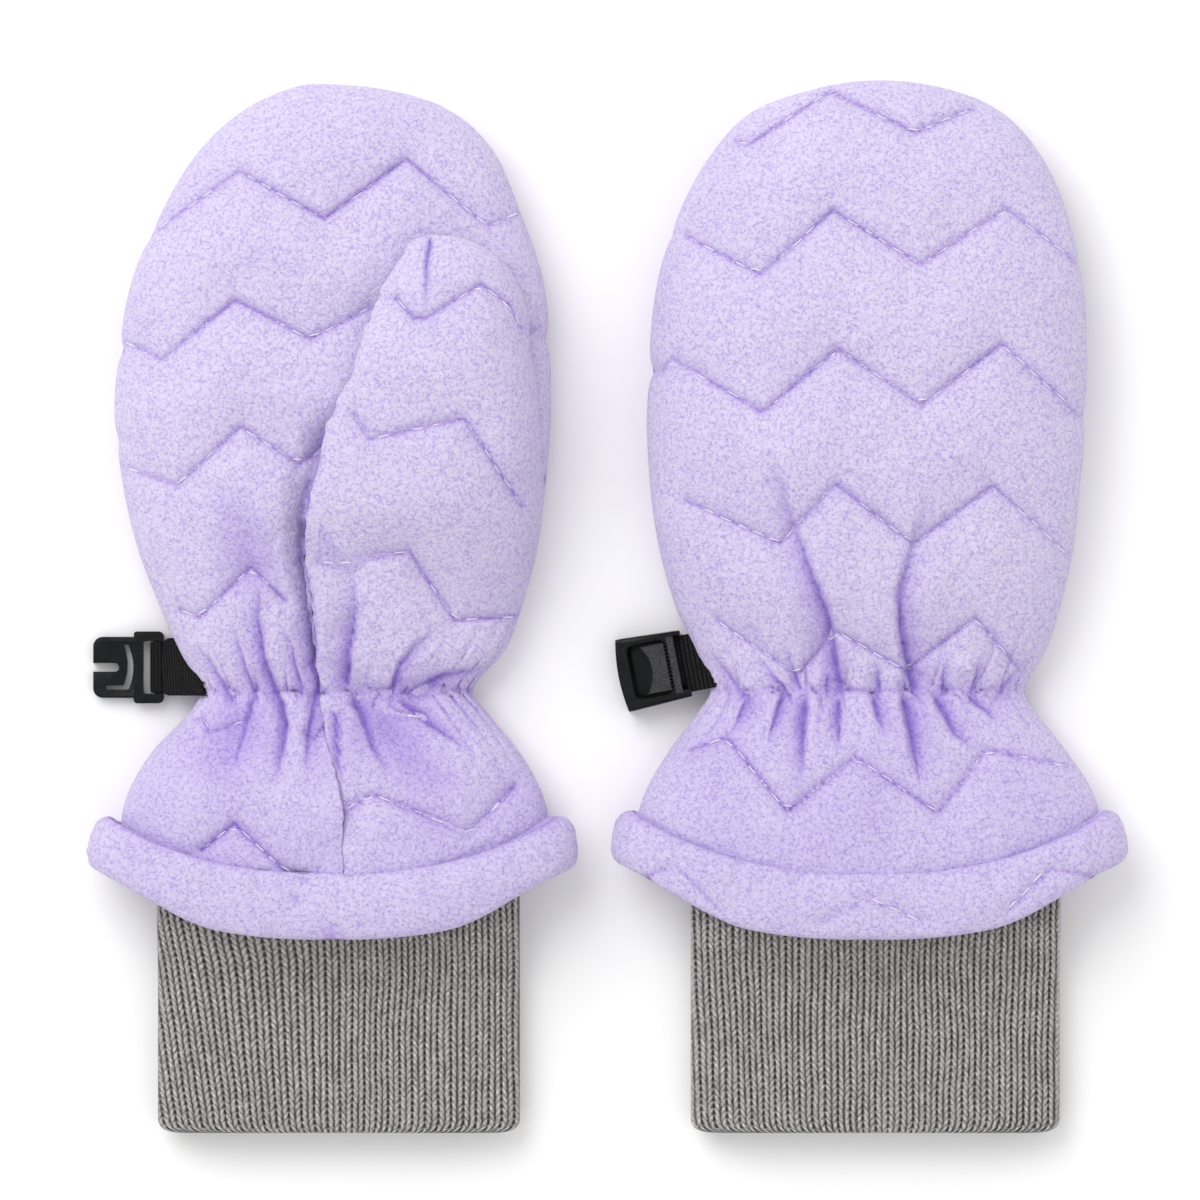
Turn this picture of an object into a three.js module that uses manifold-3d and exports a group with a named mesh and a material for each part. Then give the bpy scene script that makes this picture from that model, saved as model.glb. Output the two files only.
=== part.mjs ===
// A pair of toddler's quilted fleece mittens with rib-knit cuffs and a two-part clip, laid flat.
// Millimetres, +Z up, fingers towards +Y. The mitten at -X lies palm up, the one at +X back up.
import * as THREE from "three";
import { mergeVertices } from "three/addons/utils/BufferGeometryUtils.js";
import Module from "manifold-3d";

const wasm = await Module();
wasm.setup();

// Cloth
const WALL = 3.2; // quilted fleece with its padding
const THUMB_WALL = 2.5; // the thumb's outer panel
const THUMB_INNER_WALL = 2.1; // the thumb's face towards the palm
const KNIT_WALL = 2.1; // double rib knit
const SEAM_GAP = 0.3; // between pieces that are sewn together
const PALM_SEAM_GAP = 0.55; // the same at the bent seam down the middle of the palm
const LAID_GAP = 0.35; // between a piece and what it lies on
const LEAST_HOLLOW = 0.35; // share of a height that stays hollow where the shell runs thin

// Lengths along the hand
const FINGER_TIP = 87.3;
const SHELL_END = -47;
const WAIST = -13.8; // the elastic
const HEM_SIDE = -34.9; // where the skirt ends at its sides
const HEM_SAG = 8.8; // how much lower it ends in the middle
const THUMB_TIP = 61.8;
const WEB = 18; // the thumb's crotch
const CUFF_END = -87.6;

// Quilting
const QUILT_PITCH = 22.2; // from one zigzag line to the next
const ZIG_PERIOD = 27.7;
const ZIG_HEIGHT = 9.4; // from a trough to a peak
const CHANNEL_DEPTH = 1.1;
const CHANNEL_WIDTH = 1.5;
const CHANNEL_ROW = 2.4; // from the channel's floor to its rim

// Gathers at the elastic
const GATHERS = 12; // on each face
const GATHER_DEPTH = 1.7;
const GATHER_REACH = 7;
const WAIST_LIFT = 1.2; // the elastic pulls the underside up this far

// The mitten that lies palm up. left and right are measured from its axis, the rest from the floor.
const PALM_UP = {
  name: "palm_up",
  axis: -45.3,
  palmSide: 1,
  firstQuilt: 68.4,
  quiltPeak: -15.4,
  quilts: 5,
  thumbLift: 0,
  outline: [
    { y: FINGER_TIP, left: -3, right: -3, crown: 7, seam: 6.5 },
    { y: 86.3, left: -8, right: 9.1, crown: 10.6, seam: 6.6 },
    { y: 82.9, left: -14.9, right: 19.3, crown: 13.8, seam: 6.8 },
    { y: 76.3, left: -22.2, right: 26.5, crown: 16.8, seam: 7 },
    { y: 66.3, left: -28.4, right: 31, crown: 19, seam: 7.2 },
    { y: 52.9, left: -34, right: 35.3, crown: 20, seam: 7.4 },
    { y: 32.9, left: -36.5, right: 36.3, crown: 20, seam: 7.4 },
    { y: 19.6, left: -34.9, right: 35.3, crown: 19.6, seam: 7.2 },
    { y: 9.6, left: -32.5, right: 34, crown: 18.6, seam: 7 },
    { y: -0.4, left: -28.7, right: 31.3, crown: 17, seam: 6.4 },
    { y: -7.1, left: -25.7, right: 28.6, crown: 15.4, seam: 5.8 },
    { y: WAIST, left: -22.4, right: 23.1, crown: 13.4, seam: 5.2 },
    { y: -17.1, left: -23.7, right: 25.3, crown: 14.4, seam: 5.4 },
    { y: -23.8, left: -30, right: 30.8, crown: 16.6, seam: 6.4 },
    { y: -30.4, left: -34, right: 34.6, crown: 17.8, seam: 7.2 },
    { y: -36, left: -35.4, right: 36, crown: 18.2, seam: 7.8 },
    { y: SHELL_END, left: -36, right: 36.6, crown: 18.4, seam: 8.2 },
  ],
};

// The mitten that lies back up, with its thumb pressed flat beneath it.
const BACK_UP = {
  name: "back_up",
  axis: 43.8,
  palmSide: -1,
  firstQuilt: 60.6,
  quiltPeak: -5.5,
  quilts: 5,
  thumbLift: 7.2,
  outline: [
    { y: FINGER_TIP + 0.6, left: 2, right: 2, crown: 7.2, seam: 6.8 },
    { y: 86.3, left: -9.5, right: 13.8, crown: 11.4, seam: 7 },
    { y: 82.9, left: -18.8, right: 21.8, crown: 14.6, seam: 7.4 },
    { y: 76.3, left: -25.5, right: 28.2, crown: 17.8, seam: 8 },
    { y: 66.3, left: -31.2, right: 33, crown: 20.6, seam: 8.6 },
    { y: 52.9, left: -35.3, right: 36, crown: 22.4, seam: 9 },
    { y: 32.9, left: -36.8, right: 36.4, crown: 23, seam: 9 },
    { y: 19.6, left: -36.2, right: 35.3, crown: 22.4, seam: 8.8 },
    { y: 9.6, left: -34.7, right: 34.2, crown: 20.6, seam: 8 },
    { y: -0.4, left: -31.8, right: 32, crown: 18.2, seam: 7 },
    { y: -7.1, left: -28.6, right: 29.7, crown: 16, seam: 6 },
    { y: WAIST, left: -26.2, right: 26.2, crown: 13.8, seam: 5.2 },
    { y: -17.1, left: -28, right: 27.8, crown: 14.6, seam: 5.4 },
    { y: -23.8, left: -33, right: 33, crown: 16.8, seam: 6.4 },
    { y: -30.4, left: -36, right: 36.4, crown: 17.8, seam: 7.2 },
    { y: -36, left: -37.2, right: 37.6, crown: 18.2, seam: 7.8 },
    { y: SHELL_END, left: -37.6, right: 38, crown: 18.4, seam: 8.2 },
  ],
};

// The thumb in plan, from the same axis, and how far its top stands over the palm that it lies on.
const THUMB = [
  { y: THUMB_TIP, left: 17.3, right: 17.3, rise: 3.4 },
  { y: 60.9, left: 13.6, right: 22.8, rise: 5.4 },
  { y: 57.1, left: 10.8, right: 28.6, rise: 7.6 },
  { y: 50.8, left: 7.5, right: 32, rise: 9.2 },
  { y: 42.6, left: 4.3, right: 33, rise: 9.4 },
  { y: 36.3, left: 2.2, right: 34, rise: 9 },
  { y: 29.3, left: -1, right: 34.6, rise: 8.2 },
  { y: 22.9, left: -2.3, right: 34.4, rise: 7.2 },
  { y: WEB, left: -3.8, right: 34, rise: 6.2 },
  { y: 8.9, left: -4.7, right: 33, rise: 3.6 },
  { y: 0.9, left: -3.5, right: 31.2, rise: 1.6 },
  { y: WAIST, left: -2.2, right: 22.6, rise: 0 },
  { y: -20, left: -1.2, right: 27, rise: 0 },
  { y: -27, left: 0.5, right: 32, rise: 0 },
  { y: -32, left: 1.5, right: 34.6, rise: 0 },
  { y: -38, left: 1.8, right: 35.6, rise: 0 },
  { y: SHELL_END, left: 2, right: 36.2, rise: 0 },
];
const THUMB_SEAM = 3.1; // its side seams, over the palm
const THUMB_PRESSED_SEAM = 3.6; // the same over the floor where it is pressed flat
const THUMB_FORM = [-6, 16]; // below the first it is the flat panel, above the second the thumb
const THUMB_QUILTS = [50, 27.8, 5.2];
const THUMB_QUILT_PEAK = 22;
const THUMB_GATHERS = 8; // across the thumb's panel

// Long folds that run from the elastic: x and y where each starts and fades out, how deep and how wide.
const FOLDS = {
  palm: [
    { x: -9, y: -14, toX: -13, toY: 8, depth: 2.1, width: 2.6 },
    { x: -22, y: -14, toX: -16, toY: 20, depth: 1.4, width: 6 },
    { x: -16, y: -15, toX: -24, toY: -6, depth: 1.6, width: 2.2 },
    { x: -12.5, y: -16, toX: -16, toY: -28, depth: 1.8, width: 2.4 },
    { x: -8, y: -17, toX: -9.3, toY: -29, depth: 1.8, width: 2.2 },
    { x: -21, y: -19, toX: -20, toY: -31, depth: 1.6, width: 5 },
  ],
  thumb: [
    { x: 2.7, y: -12, toX: 3.5, toY: 7, depth: 2, width: 2.4 },
    { x: 7.3, y: -14, toX: 18, toY: -3, depth: 2, width: 2.8 },
    { x: 14, y: -13.5, toX: 27, toY: -10, depth: 2.1, width: 2.6 },
    { x: 5, y: -18, toX: 10.5, toY: -30, depth: 2, width: 2.8 },
    { x: 10, y: -20, toX: 22, toY: -30, depth: 1.8, width: 5 },
  ],
  back: [
    { x: -4.3, y: -13, toX: -16, toY: 26, depth: 2.1, width: 3.4 },
    { x: 7, y: -13, toX: 9.5, toY: 19, depth: 2, width: 3.2 },
    { x: -20.5, y: -14, toX: -27, toY: -6, depth: 1.7, width: 2.4 },
    { x: -12, y: -13, toX: -14, toY: -6, depth: 1.5, width: 2.2 },
    { x: 12, y: -13, toX: 13, toY: -8, depth: 1.5, width: 2.2 },
    { x: 22, y: -14, toX: 25.5, toY: -8, depth: 1.7, width: 2.4 },
    { x: -20, y: -15, toX: -23, toY: -21, depth: 1.6, width: 2.4 },
    { x: -10, y: -16, toX: -11.4, toY: -31, depth: 1.8, width: 2.6 },
    { x: -5, y: -16, toX: -5.2, toY: -25, depth: 1.6, width: 2.2 },
    { x: 5.5, y: -16, toX: 8.8, toY: -31, depth: 1.8, width: 2.6 },
    { x: 11, y: -16, toX: 19, toY: -25, depth: 1.8, width: 2.6 },
  ],
};

// Rolled hem
const HEM = {
  middle: -49.6, // its centre line on the axis
  rise: 7.4, // how much higher that line lies at the sides
  halfLength: 5.6,
  halfLengthSide: 7,
  halfThick: 2.2,
  halfThickSide: 3.4,
  height: 19,
};

// Rib-knit cuff
const CUFF = {
  start: -42,
  height: 8.8,
  raised: 5.1, // its underside inside the hem
  rampStart: -52,
  rampEnd: -62,
  corner: 2.4,
  ribPitch: 2.07,
  ribDepth: 0.45,
};

// Webbing and clips
const WEBBING = { width: 8.5, ply: 0.5, eyeGap: 0.22 };
const BAR_RADIUS = 0.7;
const HOOK = {
  bar: new THREE.Vector3(-74.6, -10, 1.5),
  thick: 2.6,
  plateLeft: -10.9, // all from the bar
  slotLeft: -2.4,
  earRight: 0.75,
  half: 5.1,
  earHalf: 6,
  corner: 1.6,
  notchEnd: -6.6,
  notchHalf: 0.72,
};
const BUCKLE = {
  bar: new THREE.Vector3(11.7, -9, 2.4),
  turn: THREE.MathUtils.degToRad(11),
  height: 5.6,
  mouth: -9.2,
  end: 1.6,
  mouthHalf: 6.1,
  endHalf: 5.6,
  floor: 1.1,
  windowFrom: -7.6,
  windowTo: -2,
  windowHalf: 4.2,
  tongueFrom: -5.2,
  tongueHeight: 4.7,
  slit: 0.5,
  cavity: -1.8,
  cavityHalf: 4.5,
  cavityTop: 4.1,
};

const smooth = THREE.MathUtils.smoothstep;
const mix = THREE.MathUtils.lerp;

// A smooth curve through one column of a table, over the root of the distance from the tip,
// so that the blunt tip comes out round.
function curveThrough(table, key) {
  const tip = table[0].y;
  const at = table.map((row) => Math.sqrt(tip - row.y));
  const value = table.map((row) => row[key]);
  const slope = (k) => {
    const a = Math.max(k - 1, 0);
    const b = Math.min(k + 1, at.length - 1);
    return (value[b] - value[a]) / (at[b] - at[a]);
  };
  return (y) => {
    const s = Math.sqrt(Math.max(tip - y, 0));
    let k = 0;
    while (k < at.length - 2 && s > at[k + 1]) k += 1;
    const span = at[k + 1] - at[k];
    const t = Math.min((s - at[k]) / span, 1);
    const t2 = t * t;
    const t3 = t2 * t;
    return (
      value[k] * (2 * t3 - 3 * t2 + 1) +
      slope(k) * span * (t3 - 2 * t2 + t) +
      value[k + 1] * (3 * t2 - 2 * t3) +
      slope(k + 1) * span * (t3 - t2)
    );
  };
}

// A form's two side edges at a station, moved inwards by a depth square to the outline.
function edgesOf(table) {
  const left = curveThrough(table, "left");
  const right = curveThrough(table, "right");
  const tip = table[0].y;
  return (y, depth) => {
    const step = 0.05;
    const s = Math.sqrt(Math.max(tip - y, 0));
    const near = tip - (s + step) ** 2;
    const far = tip - Math.max(s - step, 0) ** 2;
    const inward = (edge, sign) => {
      const along = new THREE.Vector2(edge(near) - edge(far), near - far).normalize();
      return new THREE.Vector2(edge(y) - sign * along.y * depth, y + sign * along.x * depth);
    };
    return { left: inward(left, 1), right: inward(right, -1) };
  };
}

// Across a section, angle 0 is the left edge, PI / 2 the middle and PI the right edge.
const PLAN_POWER = 2.2;
const across = (angle) => -Math.sign(Math.cos(angle)) * Math.abs(Math.cos(angle)) ** (2 / PLAN_POWER);
const angleAt = (share) => Math.acos(-Math.sign(share) * Math.abs(share) ** (PLAN_POWER / 2));
const domed = (angle) => Math.sin(angle);
const flattened = (angle) => Math.min(1, 1.25 * Math.max(Math.sin(angle), 0) ** 0.4);

const zigzag = (x, peak) => {
  const phase = Math.abs((((x - peak) / ZIG_PERIOD) % 1) + 1) % 1;
  return ZIG_HEIGHT * (Math.abs(phase - 0.5) * 2 - 0.5);
};
// The zigzags run out at the fingertip and at the elastic.
const zigShare = (y) => {
  const hand = smooth(y, -9, 1) * (1 - smooth(y, 71, 80));
  const skirt = 0.5 * smooth(-y, 22, 27) * (1 - smooth(-y, 30, 34));
  return Math.max(hand, skirt);
};

// How far a point of the outer face is drawn in by quilting, by the gathers and by the long folds.
function relief(x, y, share, quilts, peak, folds) {
  let depth = 0;
  for (const line of quilts) {
    const off = y - line - zigzag(x, peak) * zigShare(line);
    depth += CHANNEL_DEPTH * Math.exp(-((off / CHANNEL_WIDTH) ** 2));
  }
  const gather = 0.5 + 0.5 * Math.cos(2 * Math.PI * GATHERS * share);
  depth = Math.max(depth, GATHER_DEPTH * gather * Math.exp(-(((y - WAIST) / GATHER_REACH) ** 2)));
  for (const fold of folds) {
    const run = new THREE.Vector2(fold.toX - fold.x, fold.toY - fold.y);
    const at = new THREE.Vector2(x - fold.x, y - fold.y);
    const t = THREE.MathUtils.clamp(at.dot(run) / run.lengthSq(), 0, 1);
    const off = at.sub(run.multiplyScalar(t)).length();
    depth = Math.max(depth, fold.depth * (1 - t * t) * Math.exp(-((off / fold.width) ** 2)));
  }
  return depth;
}

// A mesh under construction.
class Surface {
  constructor() {
    this.points = [];
    this.faces = [];
  }

  add(point) {
    this.points.push(point);
    return this.points.length - 1;
  }

  // Faces between two lines of vertices that run the same way, each vertex with its place from 0 on.
  stitch(a, b) {
    let i = 0;
    let j = 0;
    while (i < a.length - 1 || j < b.length - 1) {
      const nextA = i < a.length - 1 ? a[i + 1].at : Infinity;
      const nextB = j < b.length - 1 ? b[j + 1].at : Infinity;
      if (nextA <= nextB) {
        this.face(a[i + 1].id, a[i].id, b[j].id);
        i += 1;
      } else {
        this.face(a[i].id, b[j].id, b[j + 1].id);
        j += 1;
      }
    }
  }

  face(a, b, c) {
    if (a !== b && b !== c && c !== a) this.faces.push(a, b, c);
  }

  geometry() {
    const geometry = new THREE.BufferGeometry();
    let volume = 0;
    for (let i = 0; i < this.faces.length; i += 3) {
      const [a, b, c] = this.faces.slice(i, i + 3).map((k) => this.points[k]);
      volume += a.dot(b.clone().cross(c));
    }
    const faces = volume < 0 ? this.faces.slice().reverse() : this.faces;
    geometry.setAttribute(
      "position",
      new THREE.Float32BufferAttribute(this.points.flatMap((p) => [p.x, p.y, p.z]), 3),
    );
    geometry.setIndex(faces);
    geometry.computeVertexNormals();
    return geometry;
  }
}

// A grid of vertices that starts in one point. Returns its border, which runs down the left edge,
// along the last row and up the right edge.
function patch(surface, rows, columns, pointAt, flip) {
  const pole = surface.add(pointAt(rows[0], 0));
  const grid = rows.map((y, i) =>
    columns.map((u) => (i === 0 ? pole : surface.add(pointAt(y, u)))),
  );
  for (let i = 1; i < rows.length; i += 1) {
    for (let j = 1; j < columns.length; j += 1) {
      const quad = [grid[i - 1][j - 1], grid[i][j - 1], grid[i][j], grid[i - 1][j]];
      if (flip) quad.reverse();
      surface.face(quad[0], quad[1], quad[2]);
      surface.face(quad[0], quad[2], quad[3]);
    }
  }
  const last = rows.length - 1;
  const end = columns.length - 1;
  const down = (i) => (FINGER_TIP + 5 - rows[i]) / (FINGER_TIP - CUFF_END);
  const border = rows.map((y, i) => ({ id: grid[i][0], at: down(i) }));
  for (let j = 1; j <= end; j += 1) border.push({ id: grid[last][j], at: 1 + columns[j] });
  for (let i = last - 1; i >= 0; i -= 1) border.push({ id: grid[i][end], at: 3 - down(i) });
  return border;
}

// A cloth panel: its outer face, its coarser inner face and the wall's edge between them.
function panel(outerRows, outerColumns, outerAt, innerRows, innerColumns, innerAt) {
  const surface = new Surface();
  const outer = patch(surface, outerRows, evenly(outerColumns), outerAt, false);
  const inner = patch(surface, innerRows, evenly(innerColumns), innerAt, true);
  surface.stitch(outer, inner);
  return surface.geometry();
}

const evenly = (count) => Array.from({ length: count + 1 }, (_, k) => k / count);

// Rows of an outer face: close together at the round tip, then on and beside each quilting channel.
function quiltedRows(tip, quilts, low) {
  const rows = [tip];
  for (const step of [0.4, 1.5, 3.6]) rows.push(tip - step);
  const steps = [CHANNEL_ROW, 0, -CHANNEL_ROW, -QUILT_PITCH / 3, (-2 * QUILT_PITCH) / 3];
  for (let y = tip - 7.5; y > quilts[0] + CHANNEL_ROW + 3; y -= 5) rows.push(y);
  for (const line of quilts) for (const step of steps) rows.push(line + step);
  for (const y of [-9.5, WAIST, -18, -22.5]) rows.push(y);
  rows.push(low);
  return withRows(rows.filter((y) => y <= tip && y >= low), []);
}

// Rows from the tip down, with others put in their place unless one lies there already.
function withRows(rows, more) {
  const least = 0.35;
  const wanted = more.filter((y) => rows.every((row) => Math.abs(row - y) > least));
  const sorted = [...rows, ...wanted].sort((a, b) => b - a);
  const low = sorted[sorted.length - 1];
  return sorted.filter((y, k) => k === 0 || y === low || (sorted[k - 1] - y > least && y - low > least));
}

// Rows of an inner face. Neighbours share them, so that their seams run side by side.
function plainRows(tip) {
  const shared = [74, 58, 41, WEB + 6, WEB, 5, -5, WAIST, -22.5, -28, HEM_SIDE];
  return withRows([tip, tip - 1.2, tip - 4.5, ...shared.filter((y) => y < tip - 5)], []);
}

// One mitten's shell, its two faces and its thumb.
function mittenForms(mitten) {
  const edges = edgesOf(mitten.outline);
  const crown = curveThrough(mitten.outline, "crown");
  const seam = curveThrough(mitten.outline, "seam");
  const thumbEdges = edgesOf(THUMB);
  const thumbLeft = curveThrough(THUMB, "left");
  const thumbRight = curveThrough(THUMB, "right");
  const rise = curveThrough(THUMB, "rise");
  const quilts = Array.from({ length: mitten.quilts }, (_, k) => mitten.firstQuilt - k * QUILT_PITCH);

  const floorAt = (y) => WAIST_LIFT * Math.exp(-(((y - WAIST) / GATHER_REACH) ** 2));
  // Where the thumb lies beneath the palm, the palm is lifted off the floor.
  const liftAt = (x, y) => {
    const side = thumbLeft(Math.min(y, THUMB_TIP - 4));
    const beside = smooth(x, side - 9, side - 2.5);
    const above = 1 - smooth(y, THUMB_TIP + 3, THUMB_TIP + 12);
    return mitten.thumbLift * beside * above * smooth(y, 8, WEB);
  };

  // A section of the shell. side is 1 for the upper face and -1 for the lower one.
  const section = (side, y, angle, depth, lifted) => {
    const { left, right } = edges(y, depth);
    const t = across(angle);
    const x = mix(left.x, right.x, (t + 1) / 2);
    const at = mix(left.y, right.y, (t + 1) / 2);
    const base = seam(y) + (side * SEAM_GAP) / 2;
    if (side > 0) {
      const top = Math.max(crown(y) - depth, base + LEAST_HOLLOW * (crown(y) - base));
      return new THREE.Vector3(x, at, mix(base, top, domed(angle)));
    }
    const floor = floorAt(y);
    const low = Math.min(floor + depth, base - LEAST_HOLLOW * (base - floor));
    const lift = lifted ? liftAt(x, at) : 0;
    return new THREE.Vector3(x, at, mix(base, low + lift, flattened(angle)));
  };

  // The row that passes a side edge at y sags at the hem and follows the zigzags of the quilting.
  const rowPlace = (side, y, angle, depth, peak, zigged) => {
    const x = section(side, y, angle, depth, false).x;
    const half = (edges(y, 0).right.x - edges(y, 0).left.x) / 2;
    const t = Math.min(1, Math.abs(x / half));
    const sag = HEM_SAG * (1 - t * t) * smooth(-y, 18, -HEM_SIDE);
    const zig = zigged ? zigzag(x, peak) * zigShare(y) * Math.min(1, 4 * Math.sin(angle)) : 0;
    return y + zig - sag;
  };

  // angleOf gives the angle for a place along the hand, so that a seam keeps its line on a bent row.
  const shellPoint = (side, y, angleOf, depth, options) => {
    let place = y;
    for (let pass = 0; pass < 3; pass += 1) {
      place = rowPlace(side, y, angleOf(place), depth, options.peak, options.quilts.length > 0);
    }
    const angle = angleOf(place);
    const point = section(side, place, angle, depth, options.lifted);
    if (depth === 0) {
      const share = angle / Math.PI;
      const drawn = relief(point.x, point.y, share, options.quilts, options.peak, options.folds);
      point.z -= side * drawn * domed(angle);
    }
    return point;
  };

  // The angle at which the seam between the palm and the thumb's panel crosses a row.
  const seamAngle = (y, shift, depth) => {
    const { left, right } = edges(y, depth);
    const x = thumbLeft(y) + shift;
    return angleAt((2 * x - left.x - right.x) / (right.x - left.x));
  };

  // The palm's own height under the thumb, without quilting.
  const palmHeight = (x, y) => {
    const { left, right } = edges(y, 0);
    const share = THREE.MathUtils.clamp((2 * x - left.x - right.x) / (right.x - left.x), -1, 1);
    return section(mitten.palmSide, y, angleAt(share), 0, true).z;
  };

  // The thumb lies on the palm, or beneath it, with a seam along each side.
  const up = mitten.palmSide;
  const thumbSeam = (x, y) =>
    up > 0 ? palmHeight(x, y) + THUMB_SEAM : THUMB_PRESSED_SEAM;
  const thumbPoint = (outerFace, y, u, depth) => {
    const { left, right } = thumbEdges(y, depth);
    const angle = Math.PI * u;
    const share = (across(angle) + 1) / 2;
    const x = mix(left.x, right.x, share);
    const at = mix(left.y, right.y, share);
    const side = outerFace ? up : -up;
    const seamHeight = mix(thumbSeam(thumbLeft(y), y), thumbSeam(thumbRight(y), y), share);
    const base = seamHeight + (side * SEAM_GAP) / 2;
    if (!outerFace) {
      const rest = palmHeight(x, at) + up * LAID_GAP;
      const face = rest + up * depth;
      const far = up > 0 ? Math.min(face, base) : Math.max(face, base);
      return new THREE.Vector3(x, at, mix(base, far, flattened(angle)));
    }
    const middle = (thumbLeft(y) + thumbRight(y)) / 2;
    const top = up > 0 ? Math.max(palmHeight(middle, y) + rise(y), base + 0.4) : 0;
    const face = up > 0 ? Math.max(top - depth, base + LEAST_HOLLOW * (top - base)) : Math.min(depth, base);
    return new THREE.Vector3(x, at, mix(base, face, up > 0 ? domed(angle) : flattened(angle)));
  };

  return { quilts, shellPoint, seamAngle, thumbPoint, seam, edges, thumbLeft };
}

// The panel that is one whole face: the back of either mitten.
function backPanel(mitten, forms) {
  const side = -mitten.palmSide;
  const options = {
    peak: mitten.quiltPeak,
    quilts: side > 0 ? forms.quilts : [],
    folds: side > 0 ? FOLDS.back : [],
    lifted: false,
  };
  const tip = mitten.outline[0].y;
  const rows = side > 0 ? quiltedRows(tip, forms.quilts, HEM_SIDE) : bottomRows(tip);
  const whole = (depth) => (y, u) => forms.shellPoint(side, y, () => Math.PI * u, depth, options);
  return panel(rows, 24, whole(0), plainRows(tip), 10, whole(WALL));
}

const bottomRows = (tip) => [
  ...[0, 0.4, 1.5, 3.6, 7, 11, 16, 21, 26, 31, 38, 45, 53, 60, 72, 82, 90].map((step) => tip - step),
  ...[-9.5, WAIST, -18, -22.5, -28, HEM_SIDE],
];

// The palm runs under the thumb above the web and is cut along the thumb's seam below it.
function palmPanel(mitten, forms) {
  const side = mitten.palmSide;
  const options = {
    peak: mitten.quiltPeak,
    quilts: side > 0 ? forms.quilts : [],
    folds: side > 0 ? FOLDS.palm : [],
    lifted: side < 0,
  };
  const tip = mitten.outline[0].y;
  const rows = side > 0 ? quiltedRows(tip, forms.quilts, HEM_SIDE) : bottomRows(tip);
  const whole = (depth) => (y, u) => forms.shellPoint(side, y, () => Math.PI * u, depth, options);
  const full = panel(rows, 24, whole(0), plainRows(tip), 10, whole(WALL));
  const cut = new THREE.Shape();
  cut.moveTo(60, SHELL_END);
  cut.lineTo(60, WEB + 6);
  cut.lineTo(10, WEB + 6);
  cut.quadraticCurveTo(1, WEB + 5, forms.thumbLeft(WEB) - PALM_SEAM_GAP / 2, WEB);
  for (let y = WEB - 3; y >= SHELL_END; y -= 3) cut.lineTo(forms.thumbLeft(y) - PALM_SEAM_GAP / 2, y);
  cut.closePath();
  return geometryOf(solid(full).subtract(raised(cut, -5, 40)));
}

// The thumb's outer panel goes on down as the thumb's half of the palm, to the hem.
function thumbPanel(mitten, forms) {
  const side = mitten.palmSide;
  const quilts = side > 0 ? THUMB_QUILTS : [];
  const folds = side > 0 ? FOLDS.thumb : [];
  const options = { peak: THUMB_QUILT_PEAK, quilts: [], folds: [], lifted: false };
  const rows = [THUMB_TIP, 61.4, 60.2, 58, 55, ...(side > 0 ? [] : [44, 34, WEB + 6, WEB])];
  const steps = [CHANNEL_ROW, 0, -CHANNEL_ROW, -QUILT_PITCH / 3, (-2 * QUILT_PITCH) / 3];
  for (const line of quilts) for (const step of steps) rows.push(line + step);
  rows.push(WEB, 14.5, 11, 1.5, -2, -5.5, -9, -11.5, WAIST, -16, -19, -22.5, -25, -28, -31, HEM_SIDE);
  const whole = (depth) => (y, u) => {
    const angleOf = (at) => mix(forms.seamAngle(at, PALM_SEAM_GAP / 2, depth), Math.PI, u);
    const flat = forms.shellPoint(side, y, angleOf, depth, options);
    const round = forms.thumbPoint(true, y, u, depth);
    const point = flat.lerp(round, smooth(y, THUMB_FORM[0], THUMB_FORM[1]));
    if (depth === 0) {
      const share = (THUMB_GATHERS / GATHERS) * u;
      const drawn = relief(point.x, point.y, share, quilts, THUMB_QUILT_PEAK, folds);
      point.z -= side * drawn * Math.sin(Math.PI * Math.min(u, 1)) ** 0.7;
    }
    return point;
  };
  return panel(withRows(rows, []), 16, whole(0), plainRows(THUMB_TIP), 8, whole(THUMB_WALL));
}

// The thumb's face towards the palm, from its tip to the web.
function thumbInner(mitten, forms) {
  const whole = (depth) => (y, u) => forms.thumbPoint(false, y, u, depth);
  const rows = [THUMB_TIP, 61.4, 60.2, 57, 52, 46, 40, 34, 29, WEB + 6.5];
  const inner = [THUMB_TIP, 60, 55, 46, 36, WEB + 6.5];
  return panel(rows, 10, whole(0), inner, 6, whole(THUMB_INNER_WALL));
}

// A ring of vertices for each row, closed all round.
function rings(surface, rows, ring, flip) {
  const grid = rows.map((row) => ring(row).map((entry) => ({ id: surface.add(entry.point), at: entry.at })));
  for (let i = 1; i < grid.length; i += 1) {
    grid[i].forEach((_, j) => {
      const next = (j + 1) % grid[i].length;
      const quad = [grid[i - 1][j].id, grid[i][j].id, grid[i][next].id, grid[i - 1][next].id];
      if (flip) quad.reverse();
      surface.face(quad[0], quad[1], quad[2]);
      surface.face(quad[0], quad[2], quad[3]);
    });
  }
  return grid;
}

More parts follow.
